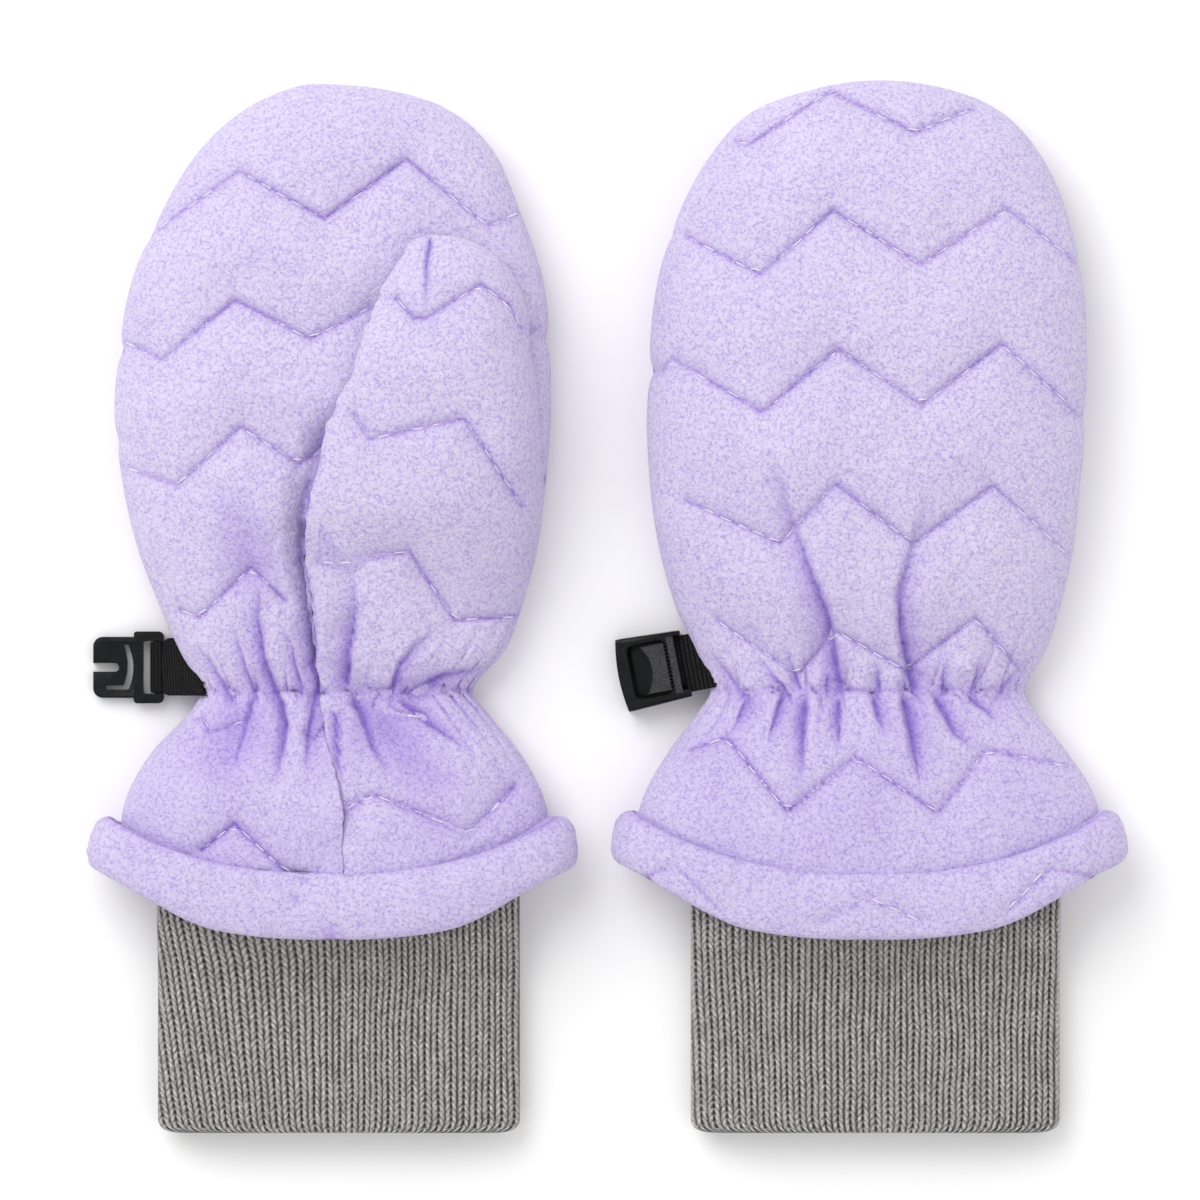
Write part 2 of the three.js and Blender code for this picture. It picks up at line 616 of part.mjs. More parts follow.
// The rolled hem: a padded ring round the skirt's end, flat where it rests.
function hemBand(mitten) {
  const end = mitten.outline[mitten.outline.length - 1];
  const middle = (end.left + end.right) / 2;
  const half = (end.right - end.left) / 2 + 4.5;
  const surface = new Surface();
  const around = 40;
  const section = evenly(9).slice(0, 9);
  const grid = evenly(around).slice(0, around).map((k) => {
    const angle = 2 * Math.PI * k;
    const cos = Math.cos(angle);
    const sin = Math.sin(angle);
    const sideways = Math.abs(cos) ** 6;
    const thick = mix(HEM.halfThick, HEM.halfThickSide, sideways);
    const length = mix(HEM.halfLength, HEM.halfLengthSide, cos * cos);
    const wide = half - HEM.halfThickSide;
    const high = HEM.height / 2 - HEM.halfThick;
    const x = Math.sign(cos) * Math.abs(cos) ** 0.6 * wide;
    const z = Math.sign(sin) * Math.abs(sin) ** 0.4 * high;
    const outwards = [Math.sign(cos) * Math.abs(cos) ** 2.4, Math.sign(sin) * Math.abs(sin) ** 1.2];
    const normal = new THREE.Vector2(...outwards).normalize();
    const y = HEM.middle + HEM.rise * (x / wide) ** 2;
    return section.map((share) => {
      const turn = 2 * Math.PI * share;
      const out = thick * Math.sign(Math.cos(turn)) * Math.abs(Math.cos(turn)) ** 0.8;
      const point = new THREE.Vector3(
        mitten.axis + middle + x + normal.x * out,
        y + length * Math.sin(turn),
        Math.max(0, HEM.height / 2 + z + normal.y * out),
      );
      return surface.add(point);
    });
  });
  grid.forEach((ring, i) => {
    const after = grid[(i + 1) % grid.length];
    ring.forEach((id, j) => {
      const next = (j + 1) % ring.length;
      surface.face(id, after[j], after[next]);
      surface.face(id, after[next], ring[next]);
    });
  });
  return surface.geometry();
}

// The cuff: a tube of rib knit that lies flat and runs up inside the hem.
function knitCuff(mitten, centre, half) {
  const surface = new Surface();
  const raised = (y) => CUFF.raised * smooth(y, CUFF.rampEnd, CUFF.rampStart);
  const halfAt = (y) => {
    const past = Math.max(0, CUFF.corner - (y - CUFF_END));
    return half - CUFF.corner + Math.sqrt(Math.max(CUFF.corner ** 2 - past ** 2, 0));
  };
  const ribs = Math.round((2 * (half - 2)) / CUFF.ribPitch);
  const flatHalf = (ribs * CUFF.ribPitch) / 2;
  const height = CUFF.height / 2;
  // Places round the tube: the ribbed top from left to right, the right side, the plain underside, the left.
  const top = evenly(ribs * 2).map((k) => mix(-flatHalf, flatHalf, k) / half);
  const bottom = evenly(8).map((k) => mix(0.86, -0.86, k));
  const lens = (t) => (1 - Math.abs(t) ** 6) ** 0.4;
  const ring = (y) => {
    const wide = halfAt(y);
    const entries = [];
    const put = (t, z, at) => {
      const x = mitten.axis + centre + t * wide;
      entries.push({ at, point: new THREE.Vector3(x, y, raised(y) + height + z) });
    };
    top.forEach((t, k) => put(t, height * lens(t) - (k % 2 ? CUFF.ribDepth : 0), k / (top.length - 1)));
    put(0.99, 1.6, 1.1);
    put(1, -0.6, 1.16);
    put(0.97, 1 - height, 1.23);
    bottom.forEach((t, k) => put(t, -height, 1.3 + (0.6 * k) / (bottom.length - 1)));
    put(-0.97, 1 - height, 1.97);
    put(-1, -0.6, 2.04);
    put(-0.99, 1.6, 2.1);
    return entries;
  };
  const innerTop = evenly(8);
  const innerRing = (y) => {
    const wide = halfAt(y) - KNIT_WALL;
    const entries = [];
    const put = (t, z, at) => {
      const x = mitten.axis + centre + t * wide;
      entries.push({ at, point: new THREE.Vector3(x, y, raised(y) + height + z) });
    };
    innerTop.forEach((k) => put(mix(-0.94, 0.94, k), height - KNIT_WALL, k));
    put(1, 0, 1.15);
    innerTop.forEach((k) => put(mix(0.94, -0.94, k), KNIT_WALL - height, 1.3 + 0.6 * k));
    put(-1, 0, 2.05);
    return entries;
  };
  const stations = [CUFF.start, CUFF.rampStart, -55.3, -58.7, CUFF.rampEnd, -73];
  stations.push(CUFF_END + CUFF.corner, CUFF_END + 0.9, CUFF_END);
  const innerStations = [...stations.slice(0, 5), CUFF_END + CUFF.corner, CUFF_END];
  const outer = rings(surface, stations, ring, false);
  const inner = rings(surface, innerStations, innerRing, true);
  const closed = (line) => [...line, { id: line[0].id, at: 2.2 }];
  surface.stitch(closed(inner[0]), closed(outer[0]));
  surface.stitch(closed(outer[outer.length - 1]), closed(inner[inner.length - 1]));
  return surface.geometry();
}

// Solids that are cut and joined
function solid(geometry) {
  const bare = geometry.clone();
  bare.deleteAttribute("normal");
  bare.deleteAttribute("uv");
  const merged = mergeVertices(bare, 1e-4);
  const mesh = new wasm.Mesh({
    numProp: 3,
    vertProperties: merged.attributes.position.array,
    triVerts: new Uint32Array(merged.index.array),
  });
  return new wasm.Manifold(mesh);
}

function geometryOf(made) {
  const mesh = made.getMesh();
  const geometry = new THREE.BufferGeometry();
  geometry.setAttribute("position", new THREE.BufferAttribute(new Float32Array(mesh.vertProperties), 3));
  geometry.setIndex(new THREE.BufferAttribute(new Uint32Array(mesh.triVerts), 1));
  geometry.computeVertexNormals();
  return geometry;
}

// A flat outline raised from one height to another.
function raised(shape, from, to) {
  const options = { depth: to - from, bevelEnabled: false, curveSegments: 5 };
  return solid(new THREE.ExtrudeGeometry(shape, options).translate(0, 0, from));
}

const block = (x0, x1, y0, y1, z0, z1) =>
  solid(
    new THREE.BoxGeometry(x1 - x0, y1 - y0, z1 - z0).translate((x0 + x1) / 2, (y0 + y1) / 2, (z0 + z1) / 2),
  );

const barAlongY = (half) => solid(new THREE.CylinderGeometry(BAR_RADIUS, BAR_RADIUS, 2 * half, 16));

// The hook half of the clip: a flat plate with an open notch, a sprung slot and a webbing bar.
function hookGeometry() {
  const { plateLeft: left, half, corner, slotLeft, earRight, earHalf, notchEnd, notchHalf } = HOOK;
  const outline = new THREE.Shape();
  outline.moveTo(left, -notchHalf);
  outline.lineTo(left, -half + corner);
  outline.quadraticCurveTo(left, -half, left + corner, -half);
  outline.lineTo(slotLeft - 2, -half);
  outline.lineTo(slotLeft - 1.4, -earHalf);
  outline.lineTo(earRight - 0.6, -earHalf);
  outline.lineTo(earRight, -earHalf + 0.7);
  outline.lineTo(earRight, -WEBBING.width / 2 - 0.15);
  outline.lineTo(slotLeft, -WEBBING.width / 2 - 0.15);
  outline.lineTo(slotLeft, WEBBING.width / 2 + 0.15);
  outline.lineTo(earRight, WEBBING.width / 2 + 0.15);
  outline.lineTo(earRight, earHalf - 0.7);
  outline.lineTo(earRight - 0.6, earHalf);
  outline.lineTo(slotLeft - 1.4, earHalf);
  outline.lineTo(slotLeft - 2, half);
  outline.lineTo(left + corner, half);
  outline.quadraticCurveTo(left, half, left, half - corner);
  outline.lineTo(left, notchHalf);
  outline.lineTo(notchEnd - notchHalf, notchHalf);
  outline.absarc(notchEnd - notchHalf, 0, notchHalf, Math.PI / 2, -Math.PI / 2, true);
  outline.closePath();
  const sprung = new THREE.Path();
  sprung.moveTo(-5.7, 3.7);
  sprung.quadraticCurveTo(-4.4, 0.4, -5.6, -2.9);
  sprung.lineTo(-8.8, -3);
  sprung.lineTo(-8.8, -3.6);
  sprung.lineTo(-5, -3.7);
  sprung.quadraticCurveTo(-3.4, 0.2, -5, 3.7);
  sprung.closePath();
  outline.holes.push(sprung);
  const plate = raised(outline, -HOOK.bar.z, HOOK.thick - HOOK.bar.z);
  return geometryOf(plate.add(barAlongY(earHalf - 0.4)));
}

// The receiver half: a shallow box with a mouth, a window, a sprung tongue and a webbing bar.
function buckleGeometry() {
  const b = BUCKLE;
  const outline = new THREE.Shape();
  outline.moveTo(b.mouth, b.mouthHalf);
  outline.quadraticCurveTo(b.mouth + 1, 0, b.mouth, -b.mouthHalf);
  outline.lineTo(b.end - 0.5, -b.endHalf);
  outline.lineTo(b.end, -b.endHalf + 0.5);
  outline.lineTo(b.end, b.endHalf - 0.5);
  outline.lineTo(b.end - 0.5, b.endHalf);
  outline.closePath();
  const low = -b.bar.z;
  const box = raised(outline, low, low + b.height);
  const window = block(b.windowFrom, b.windowTo, -b.windowHalf, b.windowHalf, low + b.floor, low + 20);
  const mouth = block(b.mouth - 2, b.windowFrom + 1, -b.windowHalf, b.windowHalf, low + b.floor, low + 4.2);
  const cavity = block(b.cavity, b.end + 1, -b.cavityHalf, b.cavityHalf, low - 1, low + b.cavityTop);
  const overBar = block(0, b.end + 1, -b.cavityHalf, b.cavityHalf, low - 1, low + 20);
  const tongue = new THREE.Shape();
  tongue.moveTo(b.tongueFrom, -b.windowHalf + 0.4);
  tongue.lineTo(b.windowTo - b.slit, -b.windowHalf + 0.4);
  tongue.lineTo(b.windowTo - b.slit, b.windowHalf - 0.4);
  tongue.lineTo(b.tongueFrom, b.windowHalf - 0.4);
  tongue.quadraticCurveTo(b.tongueFrom + 1.6, 0, b.tongueFrom, -b.windowHalf + 0.4);
  const made = box
    .subtract(window)
    .subtract(mouth)
    .subtract(cavity)
    .subtract(overBar)
    .add(raised(tongue, low + b.floor - 0.5, low + b.tongueHeight))
    .add(barAlongY(b.endHalf - 0.6));
  return geometryOf(made);
}

// Webbing sewn into the side seam at the elastic, with an eye round the clip's bar.
// bar is the eye's centre, turn the strap's heading and reach the distance to the seam at each edge.
function webbingGeometry(bar, reach, rise) {
  const inner = BAR_RADIUS + WEBBING.eyeGap;
  const outer = inner + WEBBING.ply;
  const strap = WEBBING.ply;
  const slope = Math.atan2(rise, (reach[0] + reach[1]) / 2);
  const profile = new THREE.Shape();
  const leave = Math.asin(strap / outer);
  profile.absarc(0, 0, outer, slope + leave, slope - leave + 2 * Math.PI, false);
  const long = Math.max(...reach) / Math.cos(slope) + 2;
  const end = new THREE.Vector2(Math.cos(slope), Math.sin(slope)).multiplyScalar(long);
  const thick = new THREE.Vector2(-Math.sin(slope), Math.cos(slope)).multiplyScalar(strap);
  profile.lineTo(end.x - thick.x, end.y - thick.y);
  profile.lineTo(end.x + thick.x, end.y + thick.y);
  profile.closePath();
  const hole = new THREE.Path();
  hole.absarc(0, 0, inner, 0, 2 * Math.PI, true);
  profile.holes.push(hole);
  const width = WEBBING.width;
  const options = { depth: width, bevelEnabled: false, curveSegments: 12 };
  const extruded = new THREE.ExtrudeGeometry(profile, options);
  extruded.translate(0, 0, -width / 2).rotateX(Math.PI / 2);
  const seamCut = new THREE.Shape();
  seamCut.moveTo(reach[0], width);
  seamCut.lineTo(reach[1], -width);
  seamCut.lineTo(reach[1] + 20, -width);
  seamCut.lineTo(reach[0] + 20, width);
  seamCut.closePath();
  return geometryOf(solid(extruded).subtract(raised(seamCut, -20, 20)));
}

// How far along the strap's heading its two edge lines run before they meet the mitten's side.
function strapReach(mitten, forms, bar, turn) {
  const toSide = (offset) => {
    let run = 2;
    for (let pass = 0; pass < 20; pass += 1) {
      const y = bar.y + run * Math.sin(turn) + offset * Math.cos(turn);
      const side = mitten.axis + forms.edges(y, 0).left.x - LAID_GAP;
      const x = bar.x + run * Math.cos(turn) - offset * Math.sin(turn);
      run += (side - x) / Math.cos(turn);
    }
    return run;
  };
  const half = WEBBING.width / 2;
  const upper = toSide(half);
  const lower = toSide(-half);
  // The cut is stated at twice the strap's half width, on the same line.
  return [upper + (upper - lower) / 2, lower - (upper - lower) / 2];
}

// Materials
const finish = (color, roughness) => new THREE.MeshStandardMaterial({ color, roughness, metalness: 0 });
const fleece = finish(0xcdbfeb, 0.95);
const fleecePale = finish(0xd6caf0, 0.95);
const knit = finish(0x8b8885, 0.9);
const webbing = finish(0x1c1c1c, 0.8);
const plastic = finish(0x202224, 0.45);

const pair = new THREE.Group();

function place(group, name, geometry, material) {
  const mesh = new THREE.Mesh(geometry, material);
  mesh.name = name;
  group.add(mesh);
  return mesh;
}

const CUFFS = {
  palm_up: { centre: 0.9, half: 30.2 },
  back_up: { centre: 1.3, half: 30.8 },
};
const CLIPS = {
  palm_up: { name: "hook", bar: HOOK.bar, turn: 0, geometry: hookGeometry() },
  back_up: { name: "buckle", bar: BUCKLE.bar, turn: BUCKLE.turn, geometry: buckleGeometry() },
};

for (const mitten of [PALM_UP, BACK_UP]) {
  const forms = mittenForms(mitten);
  const shell = new THREE.Group();
  shell.position.x = mitten.axis;
  pair.add(shell);
  const name = mitten.name;
  place(shell, name + "_back_panel", backPanel(mitten, forms), fleece);
  place(shell, name + "_palm_panel", palmPanel(mitten, forms), fleecePale);
  place(shell, name + "_thumb_panel", thumbPanel(mitten, forms), fleece);
  place(shell, name + "_thumb_inner", thumbInner(mitten, forms), fleecePale);
  place(pair, name + "_hem_band", hemBand(mitten), fleece);
  const cuff = CUFFS[name];
  place(pair, name + "_knit_cuff", knitCuff(mitten, cuff.centre, cuff.half), knit);

  const clip = CLIPS[name];
  const reach = strapReach(mitten, forms, clip.bar, clip.turn);
  const rise = forms.seam(clip.bar.y) - clip.bar.z;
  const strap = place(pair, name + "_webbing", webbingGeometry(clip.bar, reach, rise), webbing);
  const fastener = place(pair, name + "_" + clip.name, clip.geometry, plastic);
  for (const mesh of [strap, fastener]) {
    mesh.position.copy(clip.bar);
    mesh.rotation.z = clip.turn;
  }
}

export default pair;
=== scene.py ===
import math

import bmesh
import bpy
import numpy as np
from bpy.props import FloatProperty, FloatVectorProperty, PointerProperty
from mathutils import Matrix, Vector
from mathutils.bvhtree import BVHTree


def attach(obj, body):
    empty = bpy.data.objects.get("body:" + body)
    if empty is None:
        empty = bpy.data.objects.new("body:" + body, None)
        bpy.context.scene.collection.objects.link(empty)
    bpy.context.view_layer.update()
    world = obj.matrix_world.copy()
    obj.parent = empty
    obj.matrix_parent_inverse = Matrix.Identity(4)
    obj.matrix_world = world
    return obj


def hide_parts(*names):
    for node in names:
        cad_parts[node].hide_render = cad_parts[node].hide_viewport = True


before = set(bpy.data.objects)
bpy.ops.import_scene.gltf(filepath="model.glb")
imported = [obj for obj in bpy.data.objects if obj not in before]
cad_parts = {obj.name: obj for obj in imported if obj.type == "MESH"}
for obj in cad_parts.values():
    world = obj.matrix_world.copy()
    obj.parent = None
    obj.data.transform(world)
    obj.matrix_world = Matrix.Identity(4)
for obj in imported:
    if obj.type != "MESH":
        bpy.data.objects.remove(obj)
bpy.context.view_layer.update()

bl_info = {
    "name": "Quilted Baby Mittens",
    "version": (1, 0, 0),
    "blender": (4, 5, 0),
    "location": "3D View > Sidebar > Mittens",
    "description": "A pair of quilted fleece mittens with rib cuffs and a two-part clip, laid flat",
    "category": "Object",
}

# The mittens' forms are worked out in millimetres and become metres where a mesh is made.
MM = 0.001

# Lengths along the hand, from the wrist line up
FINGER_TIP = 87.3
SHELL_END = -47.0
WAIST = -13.8
HEM_SIDE = -34.9
HEM_SAG = 8.8
SKIRT_TUCK = 2.6          # the skirt runs this far into the rolled hem
SKIRT_COVERED = 1.7       # and the roll covers this much of it
SKIRT_SHADE = 0.20        # painted shade: the skirt's colour is darker towards the hem
THUMB_TIP = 61.8
WEB = 18.0
WAIST_LIFT = 1.2
GATHER_REACH = 7.0
GATHERS = 12
LAID_GAP = 0.35
THUMB_SEAM = 3.1
THUMB_PRESSED_SEAM = 3.6
THUMB_FORM = (-6.0, 16.0)  # between the flat panel and the round thumb
PLAN_POWER = 2.2
LEAST_HOLLOW = 0.35
THUMB_INNER_WALL = 1.9
THUMB_TURNED_IN = 0.3
SEAM_SHARE = 0.62          # the palm's columns that end at the thumb's seam

# One row for each station: left and right from the mitten's axis, crown and side seam from the table.
PALM_UP = {
    "name": "palm_up", "axis": -45.3, "palm_side": 1, "thumb_lift": 0.0,
    "dents": [(-1, 42.9, 1.1), (-1, 27.9, 0.7), (1, 44.6, 0.9), (-1, 62.0, 0.5)],
    "outline": [
        {"y": FINGER_TIP, "left": -3, "right": -3, "crown": 7, "seam": 6.5},
        {"y": 86.3, "left": -8, "right": 9.1, "crown": 10.6, "seam": 6.6},
        {"y": 82.9, "left": -14.9, "right": 19.3, "crown": 13.8, "seam": 6.8},
        {"y": 76.3, "left": -22.2, "right": 26.5, "crown": 16.8, "seam": 7},
        {"y": 66.3, "left": -28.4, "right": 31, "crown": 19, "seam": 7.2},
        {"y": 52.9, "left": -34, "right": 35.3, "crown": 20, "seam": 7.4},
        {"y": 32.9, "left": -36.5, "right": 36.3, "crown": 20, "seam": 7.4},
        {"y": 19.6, "left": -34.9, "right": 35.3, "crown": 19.6, "seam": 7.2},
        {"y": 9.6, "left": -32.5, "right": 34, "crown": 18.6, "seam": 7},
        {"y": -0.4, "left": -28.7, "right": 31.3, "crown": 17, "seam": 6.4},
        {"y": -7.1, "left": -25.7, "right": 28.6, "crown": 15.4, "seam": 5.8},
        {"y": WAIST, "left": -22.4, "right": 23.1, "crown": 13.4, "seam": 5.2},
        {"y": -17.1, "left": -23.7, "right": 25.3, "crown": 14.4, "seam": 5.4},
        {"y": -23.8, "left": -30, "right": 30.8, "crown": 16.6, "seam": 6.4},
        {"y": -30.4, "left": -34, "right": 34.6, "crown": 17.8, "seam": 7.2},
        {"y": -36, "left": -35.4, "right": 36, "crown": 18.2, "seam": 7.8},
        {"y": SHELL_END, "left": -36, "right": 36.6, "crown": 18.4, "seam": 8.2},
    ],
}
BACK_UP = {
    "name": "back_up", "axis": 43.8, "palm_side": -1, "thumb_lift": 7.2,
    "dents": [(-1, 39.3, 1.2), (1, 31.9, 0.8), (1, 57.1, 0.5), (-1, 61.8, 0.4)],
    "outline": [
        {"y": FINGER_TIP + 0.6, "left": 2, "right": 2, "crown": 7.2, "seam": 6.8},
        {"y": 86.3, "left": -9.5, "right": 13.8, "crown": 11.4, "seam": 7},
        {"y": 82.9, "left": -18.8, "right": 21.8, "crown": 14.6, "seam": 7.4},
        {"y": 76.3, "left": -25.5, "right": 28.2, "crown": 17.8, "seam": 8},
        {"y": 66.3, "left": -31.2, "right": 33, "crown": 20.6, "seam": 8.6},
        {"y": 52.9, "left": -35.3, "right": 36, "crown": 22.4, "seam": 9},
        {"y": 32.9, "left": -36.8, "right": 36.4, "crown": 23, "seam": 9},
        {"y": 19.6, "left": -36.2, "right": 35.3, "crown": 22.4, "seam": 8.8},
        {"y": 9.6, "left": -34.7, "right": 34.2, "crown": 20.6, "seam": 8},
        {"y": -0.4, "left": -31.8, "right": 32, "crown": 18.2, "seam": 7},
        {"y": -7.1, "left": -28.6, "right": 29.7, "crown": 16, "seam": 6},
        {"y": WAIST, "left": -26.2, "right": 26.2, "crown": 13.8, "seam": 5.2},
        {"y": -17.1, "left": -28, "right": 27.8, "crown": 14.6, "seam": 5.4},
        {"y": -23.8, "left": -33, "right": 33, "crown": 16.8, "seam": 6.4},
        {"y": -30.4, "left": -36.9, "right": 37.3, "crown": 17.8, "seam": 7.2},
        {"y": -36, "left": -38.6, "right": 38.9, "crown": 18.2, "seam": 7.8},
        {"y": SHELL_END, "left": -39.2, "right": 39.5, "crown": 18.4, "seam": 8.2},
    ],
}
MITTENS = (PALM_UP, BACK_UP)
THUMB = [
    {"y": THUMB_TIP, "left": 17.3, "right": 17.3, "rise": 3.4},
    {"y": 60.9, "left": 13.6, "right": 22.8, "rise": 5.4},
    {"y": 57.1, "left": 10.8, "right": 28.6, "rise": 7.6},
    {"y": 50.8, "left": 7.5, "right": 32, "rise": 9.2},
    {"y": 42.6, "left": 4.3, "right": 33, "rise": 9.4},
    {"y": 36.3, "left": 2.2, "right": 34, "rise": 9},
    {"y": 29.3, "left": -1, "right": 34.6, "rise": 8.2},
    {"y": 22.9, "left": -2.3, "right": 34.4, "rise": 7.2},
    {"y": WEB, "left": -3.8, "right": 34, "rise": 6.2},
    {"y": 8.9, "left": -4.7, "right": 33, "rise": 3.6},
    {"y": 0.9, "left": -3.5, "right": 31.2, "rise": 1.6},
    {"y": WAIST, "left": -2.2, "right": 22.6, "rise": 0},
    {"y": -20, "left": -1.2, "right": 27, "rise": 0},
    {"y": -27, "left": 0.5, "right": 32, "rise": 0},
    {"y": -32, "left": 1.5, "right": 34.6, "rise": 0},
    {"y": -38, "left": 1.8, "right": 35.6, "rise": 0},
    {"y": SHELL_END, "left": 2, "right": 36.2, "rise": 0},
]

# Lines of quilting, each a run of (x, y) corners from the mitten's axis
QUILTS = {
    "palm": [
        [(-29.3, 62.9), (-15.5, 72.6), (-1.3, 64.6), (12.3, 74.6), (25.7, 63.4), (31.2, 65.9)],
        [(-35.2, 44.3), (-28.5, 41.3), (-16, 51.1), (-3.5, 44.6), (6.5, 49.8)],
        [(32.3, 45.6), (34.8, 46.8)],
        [(-34.7, 23.4), (-25.7, 20.3), (-15.2, 30.1), (-5.5, 23.8), (-1.8, 26.1)],
        [(-25.5, -0.4), (-22.2, -1.6), (-13.5, 6.8), (-8, 1.3)],
        [(-21.8, -18.3), (-20.5, -20.8), (-14.3, -18.8)],
        [(-4.7, -20.8), (-3, -21.9), (-1.2, -19.9)],
        [(-21.8, -40.4), (-16.3, -35.9), (-7.7, -43.8), (-3.8, -44.9)],
    ],
    "thumb": [
        [(10.7, 51.3), (13.7, 47.9), (15.7, 47.9), (24.8, 53.6), (29.5, 50.1), (31.5, 46.3)],
        [(3.7, 32.1), (6.2, 27.9), (22, 31.3), (31.5, 16.8)],
        [(-2.2, 7.6), (2.8, 7.1), (6.2, 8.4), (12.8, 9.3), (20.3, -2.1), (30.7, -1.4)],
        [(8.2, -16.3), (11.5, -17.9), (15.3, -18.3)],
        [(2, -33.8), (6.5, -30.9), (17.8, -35.4), (22.8, -37.9), (30.3, -29.6)],
    ],
    "back": [
        [(-22.2, 77.6), (-19.7, 77.1), (-6.3, 85.9), (7.8, 78.9), (17, 82.9)],
        [(-30.5, 61.8), (-18, 55.3), (-6, 65.9), (8.7, 56.9), (22.8, 66.3), (35.3, 57.1)],
        [(-36.3, 38.4), (-32.7, 41.4), (-17.7, 32.4), (-5.2, 42.9), (8.7, 33.6), (22, 43.8), (35.3, 31.9)],
        [(-30.5, 17.9), (-14.7, 10.6), (-5.5, 20.6), (7.3, 10.6), (20.7, 20.3), (33.2, 8.8)],
        [(-25.2, -2.1), (-11.8, -11.3), (-5.5, -3.8), (6.2, -10.4), (17.8, -1.6), (25.3, -10.4)],
        [(-29.7, -23.8), (-23.5, -21.6), (-13.5, -33.9), (-2.2, -24.8), (11.5, -34.1), (19.5, -23.6),
         (33.2, -26.3)],
    ],
    "back_hem": [
        [(-37.2, -45.4), (-31.3, -42.9), (-24.7, -50.4)],
        [(-8, -52.4), (-0.5, -47.9), (8.7, -52.1)],
        [(22.8, -50.4), (29.5, -43.4), (40.7, -45.8)],
    ],
}

